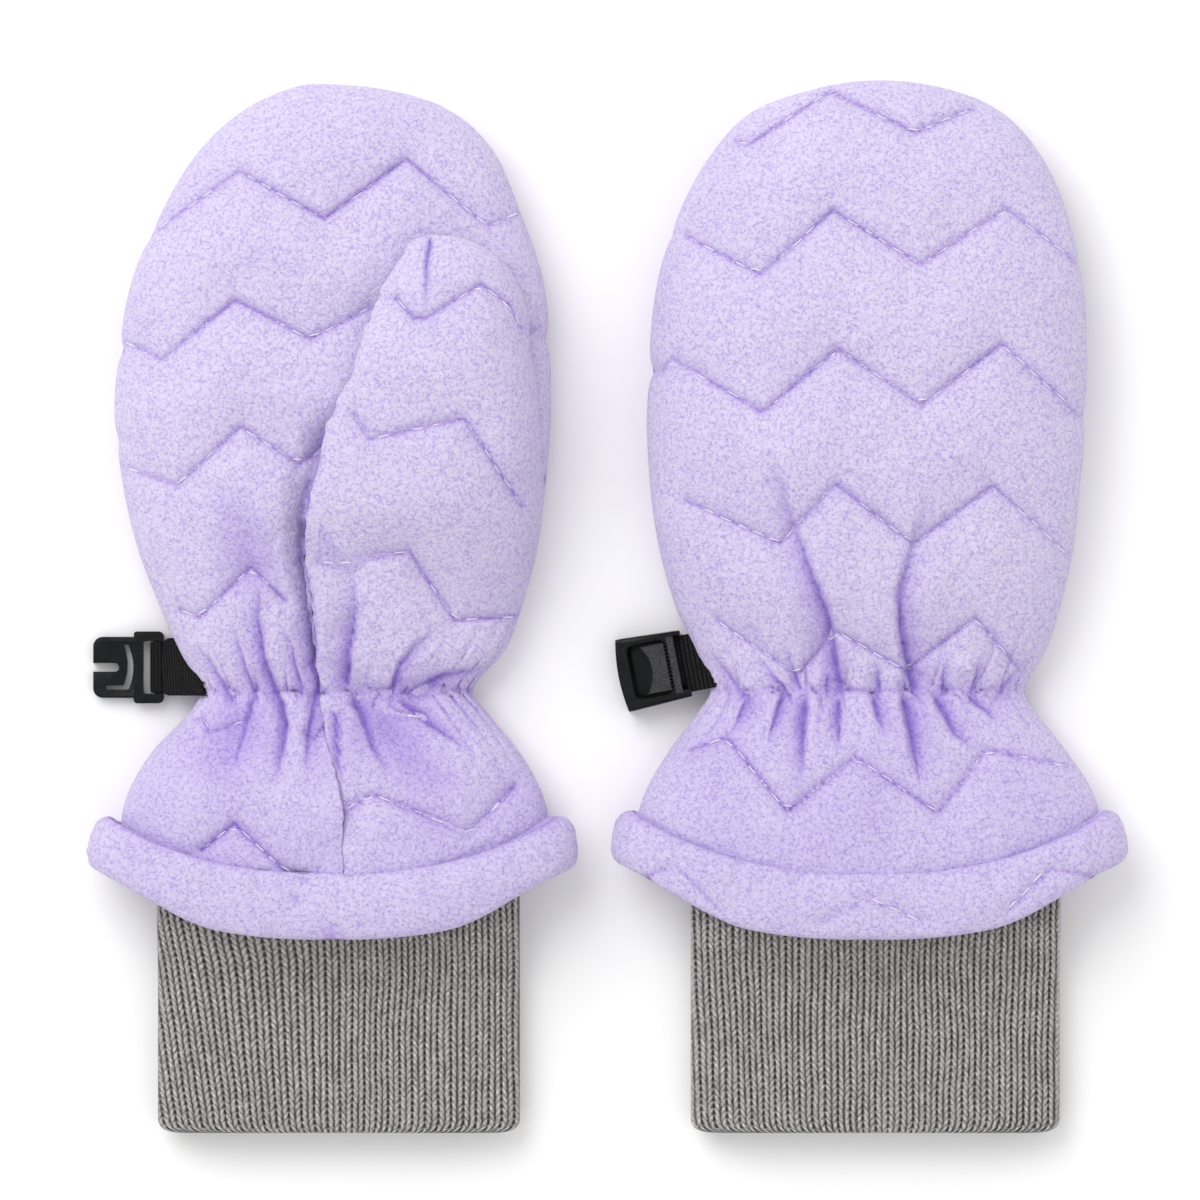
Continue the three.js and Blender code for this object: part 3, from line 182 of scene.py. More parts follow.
# Folds, each from the elastic outwards. lean is the side that drops steeply: 1 right, -1 left, 0 neither.
FOLDS = {
    "palm": [
        {"line": [(-9, -14.1), (-11.3, -8.1), (-12.2, -1.6), (-12, 3.1), (-13.2, 7.9)], "depth": 2.4, "width": 2.6,
         "lean": 1},
        {"line": [(-13, 6), (-16, 14), (-19, 22)], "depth": 1.2, "width": 5, "lean": 0},
        {"line": [(-12.5, -15.1), (-13.8, -11.3), (-15.7, -5.8), (-17, -1)], "depth": 1.4, "width": 1.5, "lean": 1},
        {"line": [(-16.7, -15.1), (-17.7, -13.1), (-20.5, -8.8), (-23.7, -5.8)], "depth": 1.9, "width": 2.0,
         "lean": 1},
        {"line": [(-5, -13.5), (-6.4, -8), (-8.2, -2)], "depth": 1.3, "width": 1.4, "lean": 1},
        {"line": [(-2.3, -13.8), (-3.6, 1.3), (-5, 8.9), (-4.6, 16.9), (-1, 30)], "depth": 2.2, "width": 2.4,
         "lean": 1},
        {"line": [(-8.2, -15.9), (-7.5, -19.8), (-8.3, -23.9), (-9.3, -29.8)], "depth": 2.3, "width": 2.0,
         "lean": 1},
        {"line": [(-13.2, -16), (-14.8, -21.8), (-16.3, -25.9), (-17.7, -28.8)], "depth": 1.7, "width": 2.0,
         "lean": 1},
        {"line": [(-15.5, -19), (-20.2, -30.4)], "depth": 1.4, "width": 5.5, "lean": 0},
        {"line": [(-3.2, -15), (-4.4, -22), (-4.2, -29)], "depth": 1.2, "width": 1.4, "lean": -1},
    ],
    "thumb": [
        {"line": [(16.2, 60.5), (15.7, 53.8), (16, 47.9)], "depth": 1.0, "width": 1.0, "lean": 0},
        {"line": [(2.7, -12), (3, -6.8), (4, -0.8), (3.5, 7.1)], "depth": 2.4, "width": 2.4, "lean": 1},
        {"line": [(7.3, -15.4), (9.7, -13.1), (11, -9.6), (13.5, -6.4), (17.7, -2.9)], "depth": 2.2, "width": 2.4,
         "lean": -1},
        {"line": [(14.2, -13.4), (17.7, -11.1), (21.5, -10.6), (27.2, -9.9)], "depth": 2.3, "width": 2.2,
         "lean": -1},
        {"line": [(11.5, -14.5), (16, -12.8), (20, -13.4), (24, -14.6)], "depth": 1.6, "width": 1.4, "lean": -1},
        {"line": [(3.5, -16), (5, -19.3), (6.3, -22.8), (8.8, -27.1), (10.7, -29.8)], "depth": 2.3, "width": 2.4,
         "lean": -1},
        {"line": [(8, -19), (14, -26), (22, -31)], "depth": 1.5, "width": 5.5, "lean": 0},
        {"line": [(12, -16.5), (18, -21), (24, -24.5)], "depth": 1.3, "width": 1.8, "lean": -1},
        {"line": [(0.6, -18), (0.9, -24), (1.5, -31)], "depth": 1.1, "width": 1.3, "lean": 0},
    ],
    "back": [
        {"line": [(-4.3, -13), (-6.3, -2.1), (-9.7, 6.3), (-13, 15.4), (-16, 26.3)], "depth": 2.5, "width": 2.8,
         "lean": 1},
        {"line": [(7, -12.9), (5.3, -4.6), (4.8, 2.1), (7, 10.4), (9.5, 18.8)], "depth": 2.3, "width": 2.6,
         "lean": -1},
        {"line": [(-20.5, -14.6), (-26.8, -6.3)], "depth": 1.8, "width": 1.8, "lean": 1},
        {"line": [(-13, -14.6), (-18.8, -7.1)], "depth": 1.5, "width": 1.5, "lean": 1},
        {"line": [(-11.3, -12.9), (-13.8, -6.3)], "depth": 1.2, "width": 1.3, "lean": 1},
        {"line": [(-7.2, -13.8), (-6.8, -7.9)], "depth": 1.3, "width": 1.3, "lean": -1},
        {"line": [(2, -13.8), (2, -8.8)], "depth": 1.4, "width": 1.4, "lean": 1},
        {"line": [(12, -13.8), (12.8, -7.9)], "depth": 1.3, "width": 1.5, "lean": -1},
        {"line": [(17, -13.8), (18.7, -7.9)], "depth": 1.5, "width": 1.6, "lean": -1},
        {"line": [(22, -13.8), (25.3, -9.6)], "depth": 1.7, "width": 1.8, "lean": -1},
        {"line": [(-20.2, -15.4), (-23, -21.3)], "depth": 1.6, "width": 1.8, "lean": -1},
        {"line": [(-14.7, -15.4), (-17.2, -23.8)], "depth": 1.5, "width": 1.6, "lean": -1},
        {"line": [(-10.2, -16.3), (-11.3, -30.4)], "depth": 2.1, "width": 2.1, "lean": 1},
        {"line": [(-4.7, -16.3), (-5.2, -24.6)], "depth": 1.6, "width": 1.6, "lean": 1},
        {"line": [(0.7, -15.4), (2.8, -22.1)], "depth": 1.5, "width": 1.5, "lean": -1},
        {"line": [(5.7, -16.3), (8.7, -30.4)], "depth": 2.1, "width": 2.1, "lean": -1},
        {"line": [(11.2, -15.8), (14.5, -21.3), (18.7, -24.6)], "depth": 1.8, "width": 2.0, "lean": -1},
        {"line": [(17, -15.4), (22, -19.6)], "depth": 1.5, "width": 1.6, "lean": -1},
    ],
}

HEM_TUCKS = [[(2, -44), (1.2, -49), (-0.2, -55)], [(-4.5, -45), (-6.5, -50)]]
HEM = {"middle": -49.6, "half_length": 5.6, "half_length_side": 6.2,
       "half_thick": 2.2, "half_thick_side": 3.4, "height": 19.0, "round_top": 0.8, "flat_base": 0.4}
HEM_PLACES = {
    "palm_up": {"rise": 8.6, "wider": 4.5, "shift": -0.5},
    "back_up": {"rise": 9.6, "wider": 3.6, "shift": 0.0},
}
CUFF = {"start": -42.0, "end": -87.6, "height": 8.8, "raised": 5.1, "ramp_start": -52.0, "ramp_end": -62.0,
        "corner": 2.4, "wall": 2.1, "lip": 1.0}
CUFF_PLACES = {
    "palm_up": {"centre": 0.9, "half": 30.2, "lean": 6.0},
    "back_up": {"centre": 1.3, "half": 30.8, "lean": 1.5},
}
STRAPS = {
    "palm_up": {"bar": (-74.6, -10.0, 1.5), "turn": 0.0, "rib": 0.58, "rib_height": 0.15, "slant": 0.09,
                "spread": 1.13, "shift": 0.1, "seed": 3},
    "back_up": {"bar": (11.7, -9.0, 2.4), "turn": math.radians(11), "rib": 0.95, "rib_height": 0.32,
                "slant": -0.02, "spread": 1.13, "shift": -0.7, "seed": 4},
}
STRAP = {"width": 8.5, "ply": 0.5, "eye_gap": 0.22, "bar_radius": 0.7}

# Raised rims on the hook's plate and round the receiver's window: x from and to, y from and to
HOOK_RIMS = [(-9.4, -4.0, 4.28, 4.5), (-9.4, -4.0, -4.9, -4.7), (-8.6, -6.9, 3.5, 3.66)]
RECEIVER_RIMS = [(-8.25, -7.95, -4.9, 3.8), (-7.6, -1.0, 4.45, 4.7), (-7.6, -1.0, -5.8, -5.55)]


class MITTENS_PG_fleece(bpy.types.PropertyGroup):
    """Sizes and colours of the quilted fleece."""
    colour: FloatVectorProperty(
        name="Colour", description="The pile's own colour", subtype="COLOR", size=3, min=0, max=1,
        default=(0.655, 0.598, 0.775))
    # Painted shade: the colour that the pile is darkened towards in folds, quilting channels and seams.
    fold_shade_colour: FloatVectorProperty(
        name="Hollow Tint", description="How a deep fold tints the pile", subtype="COLOR", size=3,
        min=0, max=1, default=(0.42, 0.30, 0.72))
    wall: FloatProperty(
        name="Wall", description="Thickness of a quilted panel", subtype="DISTANCE", default=3.2 * MM)
    thumb_wall: FloatProperty(
        name="Thumb Wall", description="Thickness of the thumb's panels", subtype="DISTANCE", default=2.2 * MM)
    channel: FloatProperty(
        name="Channel", description="Depth of a quilting line", subtype="DISTANCE", default=1.25 * MM)
    channel_width: FloatProperty(
        name="Channel Width", description="Half width of a quilting line", subtype="DISTANCE", default=1.3 * MM)
    puff: FloatProperty(
        name="Puff", description="How far the padding swells between two lines", subtype="DISTANCE",
        default=1.1 * MM)
    pile: FloatProperty(
        name="Pile", description="Height of the pile's tufts", subtype="DISTANCE", default=0.13 * MM)


class MITTENS_PG_thread(bpy.types.PropertyGroup):
    """The quilting thread and its stitches."""
    colour: FloatVectorProperty(
        name="Colour", description="The thread's colour", subtype="COLOR", size=3, min=0, max=1,
        default=(0.92, 0.90, 0.97))
    thickness: FloatProperty(
        name="Thickness", description="The thread's radius", subtype="DISTANCE", default=0.10 * MM)
    stitch: FloatProperty(
        name="Stitch", description="From one needle hole to the next", subtype="DISTANCE", default=3.0 * MM)


class MITTENS_PG_knit(bpy.types.PropertyGroup):
    """Gauge and colours of the rib knit."""
    rib: FloatProperty(name="Rib", description="Width of one rib", subtype="DISTANCE", default=2.07 * MM)
    course: FloatProperty(name="Course", description="Height of one stitch", subtype="DISTANCE", default=1.1 * MM)
    depth: FloatProperty(
        name="Rib Depth", description="From a rib's crown to the groove", subtype="DISTANCE", default=0.78 * MM)
    colour: FloatVectorProperty(
        name="Colour", description="The yarn's colour", subtype="COLOR", size=3, min=0, max=1,
        default=(0.372, 0.357, 0.346))


class MITTENS_PG_clip(bpy.types.PropertyGroup):
    """The clip's plastic and webbing."""
    colour: FloatVectorProperty(
        name="Plastic", description="The clip's colour", subtype="COLOR", size=3, min=0, max=1,
        default=(0.0035, 0.004, 0.0045))
    webbing_colour: FloatVectorProperty(
        name="Webbing", description="The webbing's colour", subtype="COLOR", size=3, min=0, max=1,
        default=(0.004, 0.004, 0.0042))
    edge: FloatProperty(
        name="Edge", description="Rounding of the moulded edges", subtype="DISTANCE", default=0.22 * MM)


class MITTENS_PG_stage(bpy.types.PropertyGroup):
    """Camera, floor and lights."""
    view_width: FloatProperty(
        name="View Width", description="Width of the picture at the mittens", subtype="DISTANCE", default=0.2)
    camera_height: FloatProperty(
        name="Camera Height", description="Camera over the table", subtype="DISTANCE", default=2.5)
    floor_colour: FloatVectorProperty(
        name="Floor", description="The floor's colour", subtype="COLOR", size=3, min=0, max=1,
        default=(0.92, 0.92, 0.92))


def smooth(x, low, high):
    t = np.clip((x - low) / (high - low), 0, 1)
    return t * t * (3 - 2 * t)


def mix(a, b, t):
    return a + (b - a) * t


def curve_through(table, column):
    """A smooth curve through one column of a table, over the root of the distance from the tip."""
    tip = table[0]["y"]
    at = np.sqrt(np.array([tip - row["y"] for row in table], float))
    value = np.array([row[column] for row in table], float)
    slope = np.empty_like(value)
    slope[1:-1] = (value[2:] - value[:-2]) / (at[2:] - at[:-2])
    slope[0] = (value[1] - value[0]) / (at[1] - at[0])
    slope[-1] = (value[-1] - value[-2]) / (at[-1] - at[-2])

    def curve(y):
        s = np.sqrt(np.maximum(tip - y, 0))
        k = np.clip(np.searchsorted(at, s) - 1, 0, len(at) - 2)
        span = at[k + 1] - at[k]
        t = np.minimum((s - at[k]) / span, 1)
        return (value[k] * (2 * t ** 3 - 3 * t ** 2 + 1) + slope[k] * span * (t ** 3 - 2 * t ** 2 + t)
                + value[k + 1] * (3 * t ** 2 - 2 * t ** 3) + slope[k + 1] * span * (t ** 3 - t ** 2))

    return curve


def edges_of(table):
    """Both side edges of a form at a station, moved inwards by a depth square to the outline."""
    left, right, tip = curve_through(table, "left"), curve_through(table, "right"), table[0]["y"]
    step = 0.05

    def inward(edge, sign, y, depth):
        s = np.sqrt(np.maximum(tip - y, 0))
        near, far = tip - (s + step) ** 2, tip - np.maximum(s - step, 0) ** 2
        dx, dy = edge(near) - edge(far), near - far
        size = np.hypot(dx, dy)
        return edge(y) - sign * dy / size * depth, y + sign * dx / size * depth

    return lambda y, depth: (*inward(left, 1, y, depth), *inward(right, -1, y, depth))


def across(angle):
    """Place across a section from -1 to 1, for an angle of 0 at the left edge and pi at the right."""
    return -np.sign(np.cos(angle)) * np.abs(np.cos(angle)) ** (2 / PLAN_POWER)


def angle_at(share):
    share = np.clip(share, -1, 1)
    return np.arccos(-np.sign(share) * np.abs(share) ** (PLAN_POWER / 2))


def flattened(angle):
    return np.minimum(1, 1.25 * np.maximum(np.sin(angle), 0) ** 0.4)


def unevenness(x, y, size, seed):
    """Smooth seeded waves between -1 and 1, about size across."""
    lattice = np.random.default_rng(seed).uniform(-1, 1, (256, 256))
    u, v = x / size + 4096, y / size + 4096
    i, j = np.floor(u).astype(int), np.floor(v).astype(int)
    fu, fv = smooth(u - i, 0, 1), smooth(v - j, 0, 1)
    corner = [[lattice[(i + a) % 256, (j + b) % 256] for b in (0, 1)] for a in (0, 1)]
    return mix(mix(corner[0][0], corner[1][0], fu), mix(corner[0][1], corner[1][1], fu), fv)


def along_line(points, x, y):
    """Signed distance from a line of points, positive on its right, and how far along it the nearest place lies."""
    ends = np.array(points, float)
    run = np.diff(ends, axis=0)
    length = np.hypot(run[:, 0], run[:, 1])
    before = np.concatenate([[0], np.cumsum(length)[:-1]])
    best = np.full(np.shape(x), 1e9)
    side = np.ones(np.shape(x))
    share = np.zeros(np.shape(x))
    for (ax, ay), (dx, dy), size, start in zip(ends, run, length, before):
        t = np.clip(((x - ax) * dx + (y - ay) * dy) / size ** 2, 0, 1)
        off = np.hypot(x - ax - t * dx, y - ay - t * dy)
        near = off < best
        best = np.where(near, off, best)
        side = np.where(near, np.sign(dy * (x - ax) - dx * (y - ay)), side)
        share = np.where(near, (start + t * size) / length.sum(), share)
    return best * side, share


def fold_depth(fold, x, y):
    """A fold's sharp valley, steep on the side that it leans to, and how shaded the cloth is there."""
    upward = 1 if fold["line"][-1][1] > fold["line"][0][1] else -1
    off, share = along_line(fold["line"], x, y)
    off = off + 0.18 * unevenness(x, y, 1.6, 77)
    lean = fold["lean"] * upward
    taper = 1 - share ** 2
    width = fold["width"] * (1 - 0.35 * share)
    side = np.where(off * lean > 0, 0.32, 1.5) if lean else 0.8
    if fold["width"] > 4:
        soft = np.exp(-(off / width) ** 2)
        return fold["depth"] * taper * soft, 0.50 * taper * soft
    trough = np.exp(-np.abs(off) / (width * side))
    ridge = 0.34 * np.exp(-((np.abs(off) - 2.2 * width * side) / (1.1 * width)) ** 2)
    shade = 0.78 * np.exp(-np.abs(off) / (0.26 * width * side)) + 0.48 * np.exp(-(off / (width * side)) ** 2)
    return fold["depth"] * taper * (trough - ridge), taper * shade


def gathers(x, y, share, seed):
    """The elastic's short ridges, cut by sharp valleys, which meet those on its other side half way between, and the
    shade painted in those valleys and along the elastic.
    """
    over = smooth(y, WAIST - 1.2, WAIST + 1.2)
    phase = share * GATHERS + 0.42 * over + 0.30 * unevenness(x, 20 * over, 5, seed)
    ridge = np.abs(np.sin(np.pi * phase))
    reach = GATHER_REACH * (0.85 + 0.5 * unevenness(x, 20 * over, 3.2, seed + 1))
    near = np.exp(-np.abs((y - WAIST) / reach) ** 1.6)
    elastic = np.exp(-np.abs(y - WAIST) / 1.1)
    knobs = np.exp(-((np.abs(y - WAIST) - 3.6) / 2.6) ** 2)
    depth = 1.7 * near * (1 - ridge ** 0.55) + 1.3 * elastic - 0.55 * ridge * knobs
    return depth, near * 0.75 * np.exp(-ridge / 0.16) + 0.45 * np.exp(-np.abs(y - WAIST) / 0.7)


def relief(x, y, share, quilts, folds, settings, seed):
    """How far the cloth is drawn in by quilting, gathers, folds and pile, and the shade painted into its colour in the
    hollows and down the skirt.
    """
    nearest = np.full(np.shape(x), 1e9)
    for line in quilts:
        nearest = np.minimum(nearest, np.abs(along_line(line, x, y)[0]))
    channel = settings.channel / MM
    width = settings.channel_width / MM
    puff = settings.puff / MM
    wobble = 1 + 0.25 * unevenness(x, y, 9, seed)
    depth = channel * wobble * (0.55 * np.exp(-nearest / 0.42) + 0.45 * np.exp(-np.abs(nearest / width) ** 1.3))
    depth += puff * np.exp(-(nearest / (4.2 * width)) ** 2)
    # Painted shade along the quilting lines: a dark narrow line in each channel and a softer band beside it.
    shade = 0.62 * wobble * np.exp(-(nearest / 0.34) ** 2) + 0.16 * np.exp(-(nearest / 1.2) ** 2)
    drawn, dark = gathers(x, y, share, seed + 1)
    for fold in folds:
        more, shaded = fold_depth(fold, x, y)
        drawn = np.maximum(drawn, more) + np.minimum(more, 0)
        dark = np.maximum(dark, shaded)
    depth += drawn + 0.30 * unevenness(x, y, 13, seed + 3) + 0.16 * unevenness(x, y, 5, seed + 4)
    pile = settings.pile / MM
    tufts = unevenness(x, y, 1.15, seed + 5) + 0.7 * unevenness(x, y, 0.62, seed + 6)
    # Painted shade: the skirt darkens towards the hem, in patches.
    painted_skirt_shade = SKIRT_SHADE * smooth(-y, 10, 20) * (1 + 0.5 * unevenness(x, y, 8, seed + 7))
    return depth + pile * tufts, np.clip(np.maximum(shade, dark) + painted_skirt_shade, 0, 1)


def edge_dents(mitten, share, y):
    """How far a tight stitch pulls the side seam inwards."""
    dent = 0 * y
    for side, place, depth in mitten["dents"]:
        dent = dent + depth * np.exp(-np.abs(y - place) / 1.5) * np.clip(side * share, 0, 1) ** 5 * -side
    return dent


class Shell:
    """The forms of one mitten, in millimetres from its own axis."""

    def __init__(self, mitten, settings):
        self.mitten = mitten
        self.settings = settings
        self.edges = edges_of(mitten["outline"])
        self.crown = curve_through(mitten["outline"], "crown")
        self.seam = curve_through(mitten["outline"], "seam")
        self.thumb_edges = edges_of(THUMB)
        self.thumb_left = curve_through(THUMB, "left")
        self.thumb_right = curve_through(THUMB, "right")
        self.rise = curve_through(THUMB, "rise")

    def floor_at(self, y):
        return WAIST_LIFT * np.exp(-((y - WAIST) / GATHER_REACH) ** 2)

    def lift_at(self, x, y):
        """Where the thumb lies beneath the palm, the palm is lifted off the floor."""
        side = self.thumb_left(np.minimum(y, THUMB_TIP - 4))
        beside = smooth(x, side - 9, side - 2.5)
        above = 1 - smooth(y, THUMB_TIP + 3, THUMB_TIP + 12)
        return self.mitten["thumb_lift"] * beside * above * smooth(y, 8, WEB)

    def section(self, side, y, angle, depth, lifted=False):
        left_x, left_y, right_x, right_y = self.edges(y, depth)
        t = (across(angle) + 1) / 2
        x, at = mix(left_x, right_x, t), mix(left_y, right_y, t)
        base = self.seam(y)
        if side > 0:
            top = np.maximum(self.crown(y) - depth, base + LEAST_HOLLOW * (self.crown(y) - base))
            return x, at, mix(base, top, np.sin(angle))
        floor = self.floor_at(y)
        low = np.minimum(floor + depth, base - LEAST_HOLLOW * (base - floor))
        lift = self.lift_at(x, at) if lifted else 0
        return x, at, mix(base, low + lift, flattened(angle))

    def place(self, side, y, angle_of, depth, lifted=False):
        """A row that ends at y on both sides sags towards the middle of the hem."""
        at = y
        for _ in range(3):
            x = self.section(side, at, angle_of(at), depth)[0]
            left, _, right, _ = self.edges(at, 0)
            t = np.minimum(1, np.abs(2 * x / (right - left)))
            at = y - HEM_SAG * (1 - t * t) * smooth(-y, 18, -HEM_SIDE)
        angle = angle_of(at)
        return (*self.section(side, at, angle, depth, lifted), angle)

    def seam_angle(self, y, shift, depth):
        left, _, right, _ = self.edges(y, depth)
        return angle_at((2 * (self.thumb_left(y) + shift) - left - right) / (right - left))

    def palm_height(self, x, y):
        left, _, right, _ = self.edges(y, 0)
        angle = angle_at((2 * x - left - right) / (right - left))
        return self.section(self.mitten["palm_side"], y, angle, 0, True)[2]

    def thumb_seam(self, x, y):
        if self.mitten["palm_side"] > 0:
            return self.palm_height(x, y) + THUMB_SEAM
        return THUMB_PRESSED_SEAM

    def thumb_point(self, outer, y, u, depth):
        """A place on the thumb: its outer panel, or its face towards the palm."""
        up = self.mitten["palm_side"]
        left_x, left_y, right_x, right_y = self.thumb_edges(y, depth)
        low = 1 - smooth(y, WEB + 1, WEB + 8) if outer else 0 * y
        side_x, side_y = self.edges(y, depth)[2:]
        right_x, right_y = mix(right_x, side_x, low), mix(right_y, side_y, low)
        angle = np.pi * u
        share = (across(angle) + 1) / 2
        x, at = mix(left_x, right_x, share), mix(left_y, right_y, share)
        ends = [self.thumb_seam(edge(y), y) for edge in (self.thumb_left, self.thumb_right)]
        base = mix(ends[0], mix(ends[1], self.seam(y), low), share)
        if not outer:
            face = self.palm_height(x, at) + up * (LAID_GAP + depth)
            face = np.minimum(face, base) if up > 0 else np.maximum(face, base)
            return x, at, mix(base, face, flattened(angle))
        middle = (self.thumb_left(y) + self.thumb_right(y)) / 2
        if up > 0:
            top = np.maximum(self.palm_height(middle, y) + self.rise(y), base + 0.4)
            face = np.maximum(top - depth, base + LEAST_HOLLOW * (top - base))
            return x, at, mix(base, face, np.sin(angle))
        return x, at, mix(base, np.minimum(depth, base) + 0 * x, flattened(angle))


def station_rows(tip, low, step, every):
    """Stations from the tip down, close together where the tip rounds, in a whole number of coarse steps."""
    head = tip - 1.8 * np.linspace(0, 1, 2 * every + 1) ** 2
    count = max(1, round((head[-1] - low) / step / every)) * every
    return np.concatenate([head, np.linspace(head[-1], low, count + 1)[1:]])


def wall_mesh(outer, inner, every, ring=False):
    """Vertices and faces of a closed wall between a fine grid and one with every few of its rows and columns."""
    rows, columns = outer.shape[:2]
    few_rows, few_columns = inner.shape[:2]
    points = np.concatenate([outer.reshape(-1, 3), inner.reshape(-1, 3)])
    fine = np.arange(rows * columns).reshape(rows, columns)
    coarse = rows * columns + np.arange(few_rows * few_columns).reshape(few_rows, few_columns)

    def quads(index):
        if ring:
            index = np.concatenate([index, index[:, :1]], axis=1)
        return np.stack([index[:-1, :-1], index[1:, :-1], index[1:, 1:], index[:-1, 1:]], -1).reshape(-1, 4)

    faces = quads(fine).tolist() + quads(coarse)[:, ::-1].tolist()

    def close(fine_path, coarse_path, turned):
        for k in range(len(coarse_path) - 1):
            part = fine_path[k * every:k * every + every + 1]
            face = part[::-1] + [coarse_path[k], coarse_path[k + 1]]
            faces.append(face[::-1] if turned else face)

    if ring:
        close(fine[-1].tolist() + [int(fine[-1, 0])], coarse[-1].tolist() + [int(coarse[-1, 0])], False)
        close(fine[0].tolist() + [int(fine[0, 0])], coarse[0].tolist() + [int(coarse[0, 0])], True)
    else:
        paths = [np.concatenate([index[:, 0], index[-1, 1:], index[-2::-1, -1]]).tolist()
                 for index in (fine, coarse)]
        close(paths[0], paths[1], False)
    return points, faces


def make_piece(name, points, faces, material, body, node=None, shade=None, merge=True):
    """A piece of the object from points in millimetres, closed, with its faces pointing outwards."""
    mesh = bpy.data.meshes.new(name)
    mesh.from_pydata((np.asarray(points) * MM).tolist(), [], faces)
    if shade is not None:
        mesh.attributes.new("shade", "FLOAT", "POINT").data.foreach_set("value", shade.astype(np.float32))
    work = bmesh.new()
    work.from_mesh(mesh)
    if merge:
        bmesh.ops.remove_doubles(work, verts=work.verts, dist=1e-7)
        bmesh.ops.dissolve_degenerate(work, edges=work.edges, dist=1e-8)
    if work.calc_volume(signed=True) < 0:
        bmesh.ops.reverse_faces(work, faces=work.faces)
    work.to_mesh(mesh)
    work.free()
    mesh.shade_smooth()
    mesh.materials.append(material)
    piece = bpy.data.objects.new(name, mesh)
    bpy.context.scene.collection.objects.link(piece)
    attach(piece, body)
    if node:
        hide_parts(node)
    return piece


# Materials
def new_material(name):
    material = bpy.data.materials.new(name)
    material.use_nodes = True
    tree = material.node_tree
    shader = tree.nodes["Principled BSDF"]
    shader.inputs["Specular IOR Level"].default_value = 0.3
    return material, tree, shader


def add_node(tree, kind, inputs=(), **settings):
    made = tree.nodes.new(kind)
    for key, value in settings.items():
        setattr(made, key, value)
    for key, value in dict(inputs).items():
        if isinstance(value, bpy.types.NodeSocket):
            tree.links.new(value, made.inputs[key])
        else:
            made.inputs[key].default_value = value
    return made


def object_place(tree, scale):
    """Object coordinates, each axis times its own scale."""
    place = add_node(tree, "ShaderNodeTexCoord").outputs["Object"]
    return add_node(tree, "ShaderNodeMapping", {"Vector": place, "Scale": scale}).outputs["Vector"]


def noise(tree, place, scale, detail=2.0, rough=0.5):
    made = add_node(tree, "ShaderNodeTexNoise",
                    {"Vector": place, "Scale": scale, "Detail": detail, "Roughness": rough})
    return made.outputs["Fac"]


def ramp(tree, value, stops):
    """A colour ramp with one (place, colour) for each stop."""
    made = add_node(tree, "ShaderNodeValToRGB", {"Fac": value})
    elements = made.color_ramp.elements
    while len(elements) < len(stops):
        elements.new(0.5)
    for element, (place, colour) in zip(elements, stops):
        element.position = place
        element.color = (*colour, 1.0)
    return made.outputs["Color"]


def bump(tree, height, distance, strength, normal=None):
    inputs = {"Height": height, "Distance": distance, "Strength": strength}
    if normal:
        inputs["Normal"] = normal
    return add_node(tree, "ShaderNodeBump", inputs).outputs["Normal"]


def lighter(colour, factor):
    return tuple(min(1.0, c * factor) for c in colour)


def tinted(colour, factors):
    return tuple(min(1.0, c * f) for c, f in zip(colour, factors))


